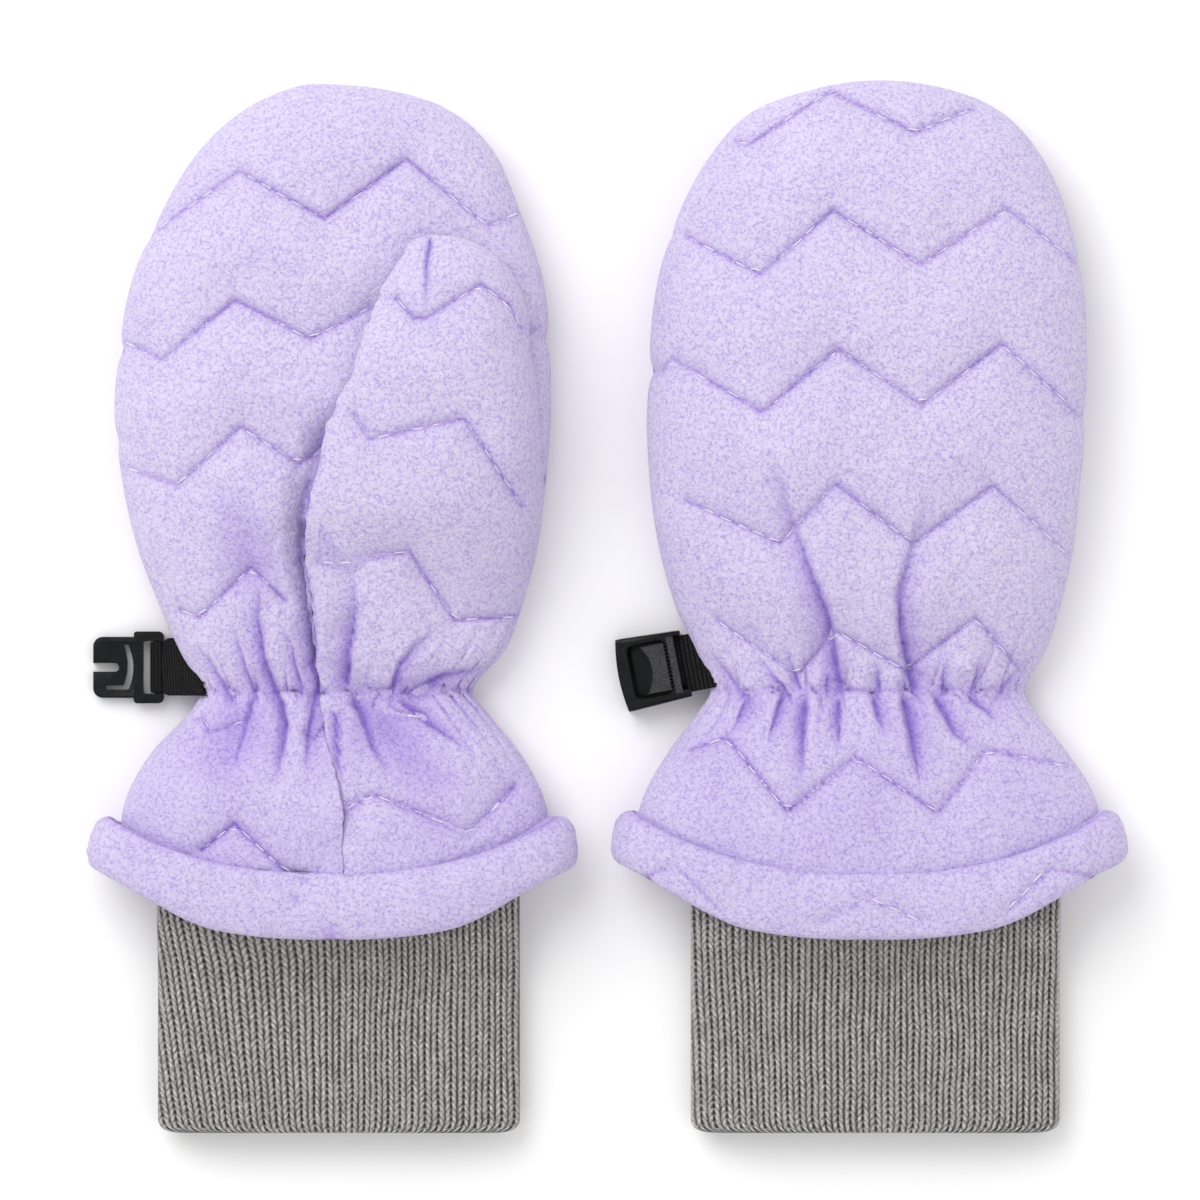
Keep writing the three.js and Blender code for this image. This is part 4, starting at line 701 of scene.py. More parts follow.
def fleece_material(settings):
    """Short curly pile: pale tufts parted by fine crooked lines, fibres across them; painted shade in the lines and
    the pile's low places, partly its own mottle, and deeper violet painted shade in the hollows.
    """
    material, tree, shader = new_material("fleece_pile")
    place = object_place(tree, (1, 1, 1))
    bend = add_node(tree, "ShaderNodeTexNoise", {"Vector": place, "Scale": 1100.0, "Detail": 3.0}).outputs["Color"]
    shift = add_node(tree, "ShaderNodeVectorMath", {0: bend, "Scale": 0.0022}, operation="SCALE").outputs["Vector"]
    crooked = add_node(tree, "ShaderNodeVectorMath", {0: place, 1: shift}, operation="ADD").outputs["Vector"]
    part = add_node(tree, "ShaderNodeTexVoronoi", {"Vector": crooked, "Scale": 820.0},
                    feature="DISTANCE_TO_EDGE").outputs["Distance"]
    tuft = ramp(tree, part, [(0.0, (0, 0, 0)), (0.16, (0.7, 0.7, 0.7)), (0.5, (1, 1, 1))])
    fibres = noise(tree, place, 3900, 3, 0.7)
    clumps = noise(tree, place, 1750, 3, 0.7)
    drift = noise(tree, place, 75, 2, 0.5)
    both = add_node(tree, "ShaderNodeMath", {0: fibres, 1: clumps}, operation="ADD").outputs["Value"]
    half = add_node(tree, "ShaderNodeMath", {0: both, 1: 0.5}, operation="MULTIPLY").outputs["Value"]
    # The pile's colour follows its bump: darker and more violet where the bump is low, lighter at its tops. This is
    # partly the pile's own mottle and partly painted shade and painted highlight.
    pile = ramp(tree, half, [
        (0.34, tinted(settings.colour, (0.79, 0.73, 0.91))), (0.44, tinted(settings.colour, (0.92, 0.89, 0.96))),
        (0.53, tuple(settings.colour)), (0.66, lighter(settings.colour, 1.12))])
    # Painted shade where the tufts part: the crooked lines are darkest where the tuft bump dips.
    line = ramp(tree, part, [(0.0, (0.66, 0.55, 0.88)), (0.05, (0.86, 0.81, 0.96)), (0.15, (1, 1, 1))])
    strength = ramp(tree, clumps, [(0.44, (1, 1, 1)), (0.58, (0.10, 0.10, 0.10))])
    lined = add_node(tree, "ShaderNodeMix", {"Factor": strength, 6: pile, 7: line},
                     data_type="RGBA", blend_type="MULTIPLY").outputs[2]
    shade = add_node(tree, "ShaderNodeAttribute", attribute_name="shade").outputs["Fac"]
    # Painted shade: the shade attribute darkens the pile towards a deep violet in folds, quilting channels, seams and
    # at the hem.
    hollow = ramp(tree, shade, [
        (0.0, (1, 1, 1)), (0.5, (0.78, 0.69, 0.92)), (1.0, tuple(settings.fold_shade_colour))])
    patch = ramp(tree, drift, [(0.3, (0.95, 0.94, 0.975)), (0.7, (1, 1, 1))])
    for layer in (hollow, patch):
        lined = add_node(tree, "ShaderNodeMix", {"Factor": 1.0, 6: lined, 7: layer},
                         data_type="RGBA", blend_type="MULTIPLY").outputs[2]
    tree.links.new(lined, shader.inputs["Base Color"])
    shader.inputs["Roughness"].default_value = 0.95
    shader.inputs["Specular IOR Level"].default_value = 0.1
    shader.inputs["Sheen Weight"].default_value = 0.3
    shader.inputs["Sheen Roughness"].default_value = 0.6
    shader.inputs["Sheen Tint"].default_value = (0.95, 0.92, 1.0, 1.0)
    curls = bump(tree, tuft, 0.0002, 0.35)
    tree.links.new(bump(tree, half, 0.00045, 0.62, curls), shader.inputs["Normal"])
    return material


def thread_material(settings):
    """Glossy filament thread with a fine twist."""
    material, tree, shader = new_material("quilting_thread")
    place = object_place(tree, (1, 1, 1))
    twist = add_node(tree, "ShaderNodeTexWave", {"Vector": place, "Scale": 900.0, "Distortion": 1.0},
                     wave_type="BANDS", bands_direction="DIAGONAL").outputs["Fac"]
    # Painted shade along the twist: its bands are darker where the twist's bump dips.
    tint = ramp(tree, twist, [(0.2, lighter(settings.colour, 0.86)), (0.7, tuple(settings.colour))])
    tree.links.new(tint, shader.inputs["Base Color"])
    shader.inputs["Roughness"].default_value = 0.32
    shader.inputs["Specular IOR Level"].default_value = 0.6
    tree.links.new(bump(tree, twist, 0.00006, 0.5), shader.inputs["Normal"])
    return material


def knit_material(settings):
    """Heather yarn: the ground of the colour with paler and darker fibres, with painted shadow deep in the grooves and
    a painted highlight on the crowns.
    """
    material, tree, shader = new_material("heather_rib_knit")
    fibres = noise(tree, object_place(tree, (1.0, 0.55, 1.0)), 3400, 3, 0.7)
    flecks = noise(tree, object_place(tree, (1, 1, 1)), 1500, 2, 0.6)
    both = add_node(tree, "ShaderNodeMath", {0: fibres, 1: flecks}, operation="ADD").outputs["Value"]
    half = add_node(tree, "ShaderNodeMath", {0: both, 1: 0.5}, operation="MULTIPLY").outputs["Value"]
    yarn = ramp(tree, half, [
        (0.30, lighter(settings.colour, 0.38)), (0.45, lighter(settings.colour, 0.85)),
        (0.56, lighter(settings.colour, 1.12)), (0.70, lighter(settings.colour, 1.9))])
    height = add_node(tree, "ShaderNodeAttribute", attribute_name="shade").outputs["Fac"]
    # Painted shade from the knit's height: near black in the holes and grooves, a little lighter than the yarn on the
    # crowns.
    shadow = ramp(tree, height, [
        (0.0, (0.10, 0.095, 0.095)), (0.30, (0.42, 0.41, 0.41)), (0.62, (0.98, 0.98, 0.98)), (1.0, (1.3, 1.3, 1.3))])
    colour = add_node(tree, "ShaderNodeMix", {"Factor": 1.0, 6: yarn, 7: shadow},
                      data_type="RGBA", blend_type="MULTIPLY")
    tree.links.new(colour.outputs[2], shader.inputs["Base Color"])
    shader.inputs["Roughness"].default_value = 0.9
    shader.inputs["Sheen Weight"].default_value = 0.2
    shader.inputs["Sheen Roughness"].default_value = 0.5
    tree.links.new(bump(tree, fibres, 0.00016, 0.6), shader.inputs["Normal"])
    return material


def webbing_material(settings):
    """Dyed polyester yarn with a faint sheen, its ribs painted darker in the grooves and lighter on the crests."""
    material, tree, shader = new_material("black_webbing")
    yarn = noise(tree, object_place(tree, (0.6, 1.0, 1.0)), 4200, 2, 0.6)
    tint = ramp(tree, yarn, [
        (0.3, lighter(settings.webbing_colour, 1.0)), (0.7, lighter(settings.webbing_colour, 5.0))])
    # Painted shade and highlight from the ribs' height: dark in the grooves, lighter on the crests.
    crest = add_node(tree, "ShaderNodeAttribute", attribute_name="shade").outputs["Fac"]
    rib_painted_shade = ramp(tree, crest, [(0.35, (0.12, 0.12, 0.12)), (0.85, (1, 1, 1)), (1.0, (1.5, 1.5, 1.5))])
    tint = add_node(tree, "ShaderNodeMix", {"Factor": 1.0, 6: tint, 7: rib_painted_shade},
                    data_type="RGBA", blend_type="MULTIPLY").outputs[2]
    tree.links.new(tint, shader.inputs["Base Color"])
    shader.inputs["Roughness"].default_value = 0.8
    shader.inputs["Specular IOR Level"].default_value = 0.08
    shader.inputs["Sheen Weight"].default_value = 0.03
    tree.links.new(bump(tree, yarn, 0.0001, 0.5), shader.inputs["Normal"])
    return material


def plastic_material(settings, name="moulded_plastic", gloss=0.17, speckle=0.00003):
    """Moulded plastic with fine spark-eroded texture, with a little wear and dust."""
    material, tree, shader = new_material(name)
    place = object_place(tree, (1, 1, 1))
    grain = noise(tree, place, 3400, 2, 0.6)
    wear = noise(tree, place, 420, 4, 0.6)
    tint = ramp(tree, wear, [
        (0.35, tuple(settings.colour)), (0.62, lighter(settings.colour, 1.5)),
        (0.80, lighter(settings.colour, 2.6))])
    tree.links.new(tint, shader.inputs["Base Color"])
    rough = add_node(tree, "ShaderNodeMapRange", {
        "Value": wear, "From Min": 0.3, "From Max": 0.75, "To Min": 0.20, "To Max": 0.36}).outputs["Result"]
    tree.links.new(rough, shader.inputs["Roughness"])
    shader.inputs["Specular IOR Level"].default_value = gloss
    tree.links.new(bump(tree, grain, speckle, 0.8), shader.inputs["Normal"])
    return material


def floor_material(settings):
    material, tree, shader = new_material("pale_floor")
    shade = noise(tree, object_place(tree, (1, 1, 1)), 6, 2, 0.5)
    colour = tuple(settings.floor_colour)
    tree.links.new(ramp(tree, shade, [(0.0, lighter(colour, 0.995)), (1.0, colour)]), shader.inputs["Base Color"])
    shader.inputs["Roughness"].default_value = 0.9
    return material


def shared_material(name, make, settings):
    return bpy.data.materials.get(name) or make(settings)


# Quilted panels
def palm_angles(shell, u, depth):
    """Angles across the palm: SEAM_SHARE of the columns reach the thumb's seam, the rest go on under the thumb."""
    def angle_of(at):
        hidden = smooth(at, WEB - 1, WEB + 5)
        over = shell.seam_angle(np.minimum(at, 54), 0.0, depth)
        seam = shell.seam_angle(np.minimum(at, 54), mix(0.0, 3.5, hidden), depth)
        seam = mix(seam, over * 0 + np.pi * SEAM_SHARE, smooth(at, 54, 76))
        left = seam * np.minimum(u / SEAM_SHARE, 1)
        right = np.maximum(u - SEAM_SHARE, 0) / (1 - SEAM_SHARE)
        return left + right * (np.pi - seam) * hidden
    return angle_of


def near_hem(y):
    """1 at the hem's seam and beneath its roll, and less and less up the skirt."""
    return np.exp(-np.maximum(y - HEM_SIDE + SKIRT_TUCK - SKIRT_COVERED, 0) / 1.6)


def face_panel(shell, side, quilts, folds, step, columns, every, seed, seam_side=False):
    """One face of the mitten as a closed wall. With seam_side it ends at the thumb's seam below the web."""
    settings = shell.settings
    wall = settings.wall / MM
    rows = station_rows(shell.mitten["outline"][0]["y"], HEM_SIDE - SKIRT_TUCK, step, every)
    u = np.linspace(0, 1, columns * every + 1)
    y_grid, u_grid = np.meshgrid(rows, u, indexing="ij")

    def angle_of_depth(u_part, depth):
        return palm_angles(shell, u_part, depth) if seam_side else lambda at: np.pi * u_part

    x, y, z, angle = shell.place(side, y_grid, angle_of_depth(u_grid, 0), 0, side < 0)
    draw, shade = relief(x, y, angle / np.pi, quilts, folds, settings, seed)
    if seam_side:
        drawn, dark = seam_valley(shell, x, y, 1.7, 1.9)
        draw, shade = draw + drawn, np.maximum(shade, dark)
        x = x + seam_wander(shell, x, y)
    to_hem = near_hem(y_grid)
    draw = (draw + 0.6 * to_hem) * np.sin(angle)
    if side > 0:
        z = z - draw
    else:
        z = z + np.maximum(draw, 0) * (z > 0.4)
    # Painted shade: the pile darkens in a narrow band at the side seam, where the face turns down, and near the hem's
    # seam.
    shade = np.maximum(shade * np.sin(angle) ** 0.4, 0.55 * np.exp(-np.sin(angle) / 0.05))
    shade = np.maximum(shade, 0.45 * to_hem)
    x = x + edge_dents(shell.mitten, across(angle), y)
    outer = np.stack([x + shell.mitten["axis"], y, z], -1)
    few_y, few_u = y_grid[::every, ::every], u_grid[::every, ::every]
    inside = shell.place(side, few_y, angle_of_depth(few_u, wall), wall, side < 0)[:3]
    inner = np.stack([inside[0] + shell.mitten["axis"], inside[1], inside[2]], -1)
    return (*wall_mesh(outer, inner, every), with_inside(shade, inner))


def with_inside(shade, inner):
    """The outer face's shade for each vertex, and a light one for the inner face."""
    return np.concatenate([shade.ravel(), np.full(inner.shape[0] * inner.shape[1], 0.3)])


def seam_wander(shell, x, y):
    """The seam between the palm and the thumb's panel does not run quite straight."""
    wave = 0.30 * unevenness(0 * x, y, 1.9, 61) + 0.18 * unevenness(0 * x, y, 0.9, 62)
    return wave * np.exp(-((x - shell.thumb_left(y)) / 1.6) ** 2)


def seam_valley(shell, x, y, depth, width):
    """The valley along the seam between the palm and the thumb's panel, deep at the thumb and shallow below, and the
    shade painted along it.
    """
    off = np.abs(x - shell.thumb_left(y) - 0.25 * unevenness(0 * x, y, 1.7, 5))
    thumb = smooth(y, WAIST - 1, WAIST + 8) * (1 - smooth(y, WEB + 8, WEB + 16))
    below = 1 - smooth(y, WAIST - 2, WAIST + 2)
    drawn = depth * thumb * np.exp(-off / width) + 0.25 * below * np.exp(-off / 0.7)
    return drawn, 0.9 * thumb * np.exp(-off / (0.5 * width)) + 0.35 * below * np.exp(-off / 0.5)


def thumb_outer(shell, quilts, folds, step, columns, every, seed):
    """The thumb's outer panel, which goes on as its half of the palm down to the hem."""
    settings = shell.settings
    wall = settings.thumb_wall / MM
    side = shell.mitten["palm_side"]
    rows = station_rows(THUMB_TIP, HEM_SIDE - SKIRT_TUCK, step, every)
    u = np.linspace(0, 1, columns * every + 1)
    y_grid, u_grid = np.meshgrid(rows, u, indexing="ij")

    def points(y_part, u_part, depth):
        def angle_of(at):
            return mix(shell.seam_angle(at, 0.05, depth), np.pi, u_part)
        flat = shell.place(side, y_part, angle_of, depth)
        thumb = shell.thumb_point(True, y_part, u_part, depth)
        t = smooth(y_part, *THUMB_FORM)
        return [mix(flat[k], thumb[k], t) for k in range(3)]

    x, y, z = points(y_grid, u_grid, 0)
    share = (8 / GATHERS) * u_grid
    draw, shade = relief(x, y, share, quilts, folds, settings, seed)
    round_part = smooth(y_grid, *THUMB_FORM)
    near_seam = np.where(u_grid < 0.5, round_part, 1)
    weight = mix(1, np.sin(np.pi * u_grid) ** 0.7, near_seam)
    drawn, dark = seam_valley(shell, x, y, 1.0, 0.8)
    x = x + seam_wander(shell, x, y)
    to_hem = near_hem(y_grid)
    draw = (draw + drawn + 0.6 * to_hem) * weight
    # Painted shade: along the seam valley, less on the round thumb, and near the hem's seam.
    shade = np.maximum(np.maximum(shade, dark * (1 - 0.6 * round_part)), 0.45 * to_hem)
    if side > 0:
        z = z - draw
    else:
        z = z + np.maximum(draw, 0) * (z > 0.4)
    outer = np.stack([x + shell.mitten["axis"], y, z], -1)
    few_y = y_grid[::every, ::every]
    inside = points(few_y, u_grid[::every, ::every], wall)
    inner = np.stack([inside[0] + shell.mitten["axis"], inside[1], inside[2]], -1)
    # Below the web the edge at the seam is turned in as far as the palm, so nothing stands open there.
    edge = inner[:, 0]
    palm = shell.palm_height(inside[0][:, 0], inside[1][:, 0]) - side * THUMB_TURNED_IN
    sewn = side * np.minimum(side * edge[:, 2], side * palm)
    edge[:, 2] = mix(edge[:, 2], sewn, 1 - smooth(few_y[:, 0], WEB + 4, WEB + 9))
    return (*wall_mesh(outer, inner, every), with_inside(shade, inner))


def thumb_face(shell, step, columns, every, seed):
    """The thumb's face towards the palm, from its tip to the web."""
    settings = shell.settings
    rows = station_rows(THUMB_TIP, WEB + 4, step, every)
    u = np.linspace(0, 1, columns * every + 1)
    y_grid, u_grid = np.meshgrid(rows, u, indexing="ij")
    x, y, z = shell.thumb_point(False, y_grid, u_grid, 0)
    pile = settings.pile / MM
    z = z + shell.mitten["palm_side"] * pile * (1 + unevenness(x, y, 1.15, seed)) * np.sin(np.pi * u_grid)
    outer = np.stack([x + shell.mitten["axis"], y, z], -1)
    inside = shell.thumb_point(False, y_grid[::every, ::every], u_grid[::every, ::every], THUMB_INNER_WALL)
    inner = np.stack([inside[0] + shell.mitten["axis"], inside[1], inside[2]], -1)
    # Painted shade: the face towards the palm gets an even mid shade.
    return (*wall_mesh(outer, inner, every), with_inside(0.35 + 0 * x, inner))


UNDERSIDE_QUILTS = [
    [(x, line + (4.7 if k % 2 else -4.7)) for k, x in enumerate((-42, -28, -14, 0, 14, 28, 42))]
    for line in (68, 46, 24, 2)
]


class MITTENS_OT_panels(bpy.types.Operator):
    """Make the quilted panels of both mittens: backs, palms and thumbs"""
    bl_idname = "mittens.panels"
    bl_label = "Quilted Panels"

    def execute(self, context):
        settings = context.scene.mittens_fleece
        pile = shared_material("fleece_pile", fleece_material, settings)
        for number, mitten in enumerate(MITTENS):
            shell = Shell(mitten, settings)
            name = mitten["name"]
            up = mitten["palm_side"] > 0
            seed = 100 * number
            back = face_panel(
                shell, -mitten["palm_side"], UNDERSIDE_QUILTS if up else QUILTS["back"],
                [] if up else FOLDS["back"], 1.2 if up else 0.46, 16 if up else 40, 6, seed + 10)
            palm = face_panel(
                shell, mitten["palm_side"], QUILTS["palm"] if up else UNDERSIDE_QUILTS,
                FOLDS["palm"] if up else [], 0.46 if up else 1.2, 40 if up else 16, 6, seed + 20, seam_side=True)
            thumb = thumb_outer(
                shell, QUILTS["thumb"] if up else [], FOLDS["thumb"] if up else [],
                0.46 if up else 1.1, 18 if up else 8, 6, seed + 30)
            face = thumb_face(shell, 1.0, 8, 5, seed + 40)
            cuts = {
                "back_panel": (back, (0.084, 0.150), 0.0097),
                "palm_panel": (palm, (0.082, 0.150), 0.0078),
                "thumb_panel": (thumb, (0.052, 0.118), 0.0042),
                "thumb_inner": (face, (0.042, 0.046), 0.0014),
            }
            for part, ((points, faces, shade), flat, area) in cuts.items():
                node = name + "_" + part
                piece = make_piece(node + "_fleece", points, faces, pile, "mittens", node, shade)
        return {"FINISHED"}


# Rolled hems
def hem_ring(mitten, around, section_points, settings, seed):
    """The padded roll round the skirt's end, flat where it rests."""
    end, place = mitten["outline"][-1], HEM_PLACES[mitten["name"]]
    middle = (end["left"] + end["right"]) / 2 + place["shift"]
    half = (end["right"] - end["left"]) / 2 + place["wider"]
    angle, turn = np.meshgrid(
        np.linspace(0, 2 * np.pi, around, endpoint=False),
        np.linspace(0, 2 * np.pi, section_points, endpoint=False), indexing="ij")
    cos, sin = np.cos(angle), np.sin(angle)
    thick = mix(HEM["half_thick"], HEM["half_thick_side"], np.abs(cos) ** 6)
    length = mix(HEM["half_length"], HEM["half_length_side"], cos * cos)
    wide = half - HEM["half_thick_side"]
    high = HEM["height"] / 2 - HEM["half_thick"]
    x = np.sign(cos) * np.abs(cos) ** 0.6 * wide
    z = np.sign(sin) * np.abs(sin) ** np.where(sin > 0, HEM["round_top"], HEM["flat_base"]) * high
    out_x, out_z = np.sign(cos) * np.abs(cos) ** 2.4, np.sign(sin) * np.abs(sin) ** 1.2
    size = np.hypot(out_x, out_z)
    out_x, out_z = out_x / size, out_z / size
    y = HEM["middle"] + place["rise"] * np.abs(x / wide) ** 2.5
    slant = np.where(np.sin(turn) < 0, 1 - 0.50 * smooth(np.abs(x) / wide, 0.5, 1), 1)
    along = y + length * slant * np.sin(turn)
    pile = settings.pile / MM
    top = z > 0
    draw = pile * (unevenness(x + 60 * top, along, 1.15, seed) + 0.7 * unevenness(x, along, 0.62, seed + 1))
    pucker = unevenness(x + 90 * top, 0 * x, 2.3, seed + 2) * np.exp(-((np.sin(turn) - 0.8) / 0.35) ** 2)
    draw = draw + 0.55 * pucker + 0.30 * unevenness(x, along, 7, seed + 3)
    # Painted shade: a little all round the roll, deep along its seam with the skirt, and along the tucks and quilting
    # lines on top.
    shade = 0.12 + 0.65 * np.exp(-np.abs(turn - 0.5 * np.pi) / 0.22)
    for line in QUILTS["back_hem"] if mitten["palm_side"] < 0 else HEM_TUCKS:
        off = np.abs(along_line(line, x, along)[0])
        draw = draw + 0.7 * np.exp(-(off / 1.1) ** 1.2) * top
        shade = np.maximum(shade, 0.55 * np.exp(-(off / 0.4) ** 2) * top)
    out = thick * np.sign(np.cos(turn)) * np.abs(np.cos(turn)) ** 0.8 - draw * np.sign(np.cos(turn))
    points = np.stack([
        mitten["axis"] + middle + x + out_x * out, along, np.maximum(0, HEM["height"] / 2 + z + out_z * out)], -1)
    index = np.arange(around * section_points).reshape(around, section_points)
    index = np.concatenate([index, index[:1]], axis=0)
    index = np.concatenate([index, index[:, :1]], axis=1)
    quads = np.stack([index[:-1, :-1], index[1:, :-1], index[1:, 1:], index[:-1, 1:]], -1).reshape(-1, 4)
    return points.reshape(-1, 3), quads.tolist(), shade.ravel()


class MITTENS_OT_hems(bpy.types.Operator):
    """Make the rolled hem of each mitten"""
    bl_idname = "mittens.hems"
    bl_label = "Rolled Hems"

    def execute(self, context):
        settings = context.scene.mittens_fleece
        pile = shared_material("fleece_pile", fleece_material, settings)
        for number, mitten in enumerate(MITTENS):
            points, faces, shade = hem_ring(mitten, 420, 60, settings, 300 + 10 * number)
            node = mitten["name"] + "_hem_band"
            piece = make_piece(node + "_fleece", points, faces, pile, "mittens", node, shade, merge=False)
        return {"FINISHED"}


# Rib-knit cuffs
def knit_height(x, y, settings, lean, seed):
    """Height of the rib knit's face from 0 to 1: a chain of V stitches a rib, with holes between their legs."""
    rib, course = settings.rib / MM, settings.course / MM
    tilt = lean * (y - CUFF["end"]) / 40 * smooth(-x, -4, 30)
    x = x + tilt + 0.30 * unevenness(x, y, 12, seed) + 0.10 * unevenness(x, y, 3.5, seed + 1)
    place = x / rib - np.round(x / rib)
    off = np.abs(place)
    v = y / course + 0.10 * unevenness(x, y, 5, seed + 2) + 0.5 * (np.round(x / rib) % 2)
    slant = v + 1.9 * off
    leg = np.sqrt(np.maximum(0, 1 - ((off - 0.24) / 0.20) ** 2))
    stitch = 0.30 + 0.70 * np.abs(np.sin(np.pi * slant)) ** 0.8
    hole = np.exp(-(off / 0.10) ** 2) * (0.5 + 0.5 * np.cos(2 * np.pi * v)) ** 0.7
    rung = 0.34 * (0.5 + 0.5 * np.cos(2 * np.pi * (v + 0.5))) * np.exp(-((off - 0.5) / 0.12) ** 2)
    middle = 0.40 * np.exp(-(off / 0.12) ** 2)
    uneven = 1 + 0.16 * unevenness(x, y, 1.7, seed + 3)
    return np.clip((np.maximum(leg * stitch, middle) + rung - 0.75 * hole) * uneven, 0, 1)


def cuff_tube(mitten, settings, every, seed):
    """The knitted tube with its rounded mouth, lying flat and running up inside the hem."""
    place = CUFF_PLACES[mitten["name"]]
    half, height = place["half"], CUFF["height"] / 2
    ribs = round(2 * (half - 1.2) / (settings.rib / MM))
    side_points, under_points = 2 * every, 6 * every
    top = np.linspace(-0.97, 0.97, ribs * every + 1)
    low = np.linspace(0.97, -0.97, under_points + 1)
    high_z, low_z = (1 - 0.97 ** 6) ** 0.4, -((1 - 0.97 ** 10) ** 0.4)
    down = np.linspace(high_z, low_z, side_points + 1)[1:-1]
    side = np.where(down > 0, (1 - np.abs(down) ** 2.5) ** (1 / 6), (1 - np.abs(down) ** 2.5) ** (1 / 10))
    share = np.concatenate([top, side, low, -side[::-1]])
    level = np.concatenate([
        (1 - np.abs(top) ** 6) ** 0.4, down, -((1 - np.abs(low) ** 10) ** 0.4), down[::-1]])
    is_top = np.concatenate([np.ones(len(top)), smooth(down, 0, high_z), np.zeros(len(low)),
                             smooth(down[::-1], 0, high_z)])
    spare = (-len(share)) % every
    if spare:
        raise RuntimeError("the cuff's ring has to divide into whole coarse steps")
    lip = CUFF["lip"]
    mouth = CUFF["end"] + lip * (1 - np.cos(np.linspace(0, np.pi / 2, every + 1)))
    count = round((CUFF["start"] - mouth[-1]) / 0.22 / every) * every
    y = np.concatenate([mouth, np.linspace(mouth[-1], CUFF["start"], count + 1)[1:]])[::-1]

    def ring(y_part, share_part, level_part, inset):
        past = np.maximum(0, CUFF["corner"] - (y_part - CUFF["end"]))
        wide = half - CUFF["corner"] + np.sqrt(np.maximum(CUFF["corner"] ** 2 - past ** 2, 0))
        raised = CUFF["raised"] * smooth(y_part, CUFF["ramp_end"], CUFF["ramp_start"])
        x = place["centre"] + share_part * (wide - inset)
        z = raised + height + level_part * (height - inset)
        return x, z

    y_grid, share_grid = np.meshgrid(y, share, indexing="ij")
    level_grid, top_grid = level[None, :] + 0 * y_grid, is_top[None, :] + 0 * y_grid
    from_end = np.clip((y_grid - CUFF["end"]) / lip, 0, 1)
    inset = lip * (1 - np.sqrt(np.maximum(0, 1 - (1 - from_end) ** 2)))
    x, z = ring(y_grid, share_grid, level_grid, inset)
    arc = share_grid * half
    face = knit_height(arc, y_grid, settings, place["lean"], seed)
    face_under = 0.5 + 0.5 * np.cos(2 * np.pi * arc / (settings.rib / MM))
    depth = settings.depth / MM
    z = z - depth * (1 - face) * top_grid
    z = np.maximum(z + (1 - top_grid) * 0.25 * (1 - face_under) * (level_grid < -0.5), 0)
    outer = np.stack([x + mitten["axis"], y_grid, z], -1)
    few = (slice(None, None, every), slice(None, None, every))
    inner_y = np.clip(y_grid[few], CUFF["end"] + lip * 0.999, None)
    inner_x, inner_z = ring(inner_y, share_grid[few], level_grid[few], CUFF["wall"])
    inner_y = y_grid[few] + (y_grid[few] < CUFF["end"] + 0.5 * lip) * lip * 0.6
    inner = np.stack([inner_x + mitten["axis"], inner_y, inner_z], -1)
    # Painted shade for the knit's colour: its height on the top face, the ribs on the underside, and an even mid shade
    # inside.
    shade = np.concatenate([(face * top_grid + (1 - top_grid) * (0.3 + 0.6 * face_under)).ravel(),
                            np.full(inner.shape[0] * inner.shape[1], 0.6)])
    return (*wall_mesh(outer, inner, every, ring=True), shade)


class MITTENS_OT_cuffs(bpy.types.Operator):
    """Make the rib-knit cuff of each mitten"""
    bl_idname = "mittens.cuffs"
    bl_label = "Rib-Knit Cuffs"

    def execute(self, context):
        settings = context.scene.mittens_knit
        yarn = shared_material("heather_rib_knit", knit_material, settings)
        for number, mitten in enumerate(MITTENS):
            points, faces, shade = cuff_tube(mitten, settings, 10, 400 + 10 * number)
            node = mitten["name"] + "_knit_cuff"
            piece = make_piece(node + "_ribs", points, faces, yarn, "mittens", node, shade, merge=False)
        return {"FINISHED"}


# Quilting thread
def stitch_places(line, pitch):
    """Ends of the stitches along a line, each a straight run with a short gap at its needle holes."""
    ends = np.array(line, float)
    run = np.diff(ends, axis=0)
    length = np.hypot(run[:, 0], run[:, 1])
    total = np.concatenate([[0], np.cumsum(length)])
    count = max(1, round(total[-1] / pitch))
    marks = np.linspace(0, total[-1], count + 1)
    at = np.stack([np.interp(marks, total, ends[:, k]) for k in (0, 1)], -1)
    return list(zip(at[:-1], at[1:]))


def add_stitch(points, faces, start, end, tree, radius, wobble, lift):
    """One stitch: a bowed thread that dives into the cloth at both ends."""
    steps, sides = 7, 6
    run = end - start
    size = float(np.hypot(*run))
    if size < 1.2:
        return
    ahead = run / size
    sideways = np.array([-ahead[1], ahead[0]])
    centres = []
    for t in np.linspace(0.14, 0.86, steps):
        x, y = start + run * t + sideways * wobble * math.sin(math.pi * t)
        hit = tree.ray_cast(Vector((x * MM, y * MM, 0.1)), Vector((0, 0, -1)))[0]
        if hit is None:
            return
        rise = 0.10 + lift - 0.55 * abs(2 * t - 1) ** 4
        centres.append((x, y, hit.z / MM + rise))
    centres = np.array(centres)
    first = len(points)
    for k, centre in enumerate(centres):
        slim = radius * (1 - 0.45 * abs(2 * k / (steps - 1) - 1) ** 3)
        for side in range(sides):
            turn = 2 * math.pi * side / sides
            shift = sideways * slim * math.cos(turn)
            points.append((centre[0] + shift[0], centre[1] + shift[1], centre[2] + slim * math.sin(turn)))
    for k in range(steps - 1):
        for side in range(sides):
            a, b = first + k * sides + side, first + k * sides + (side + 1) % sides
            faces.append((a, b, b + sides, a + sides))
    faces.append(tuple(first + side for side in range(sides))[::-1])
    faces.append(tuple(first + (steps - 1) * sides + side for side in range(sides)))


def surface_tree(name):
    mesh = bpy.data.objects[name].data
    return BVHTree.FromPolygons([v.co for v in mesh.vertices], [p.vertices for p in mesh.polygons])


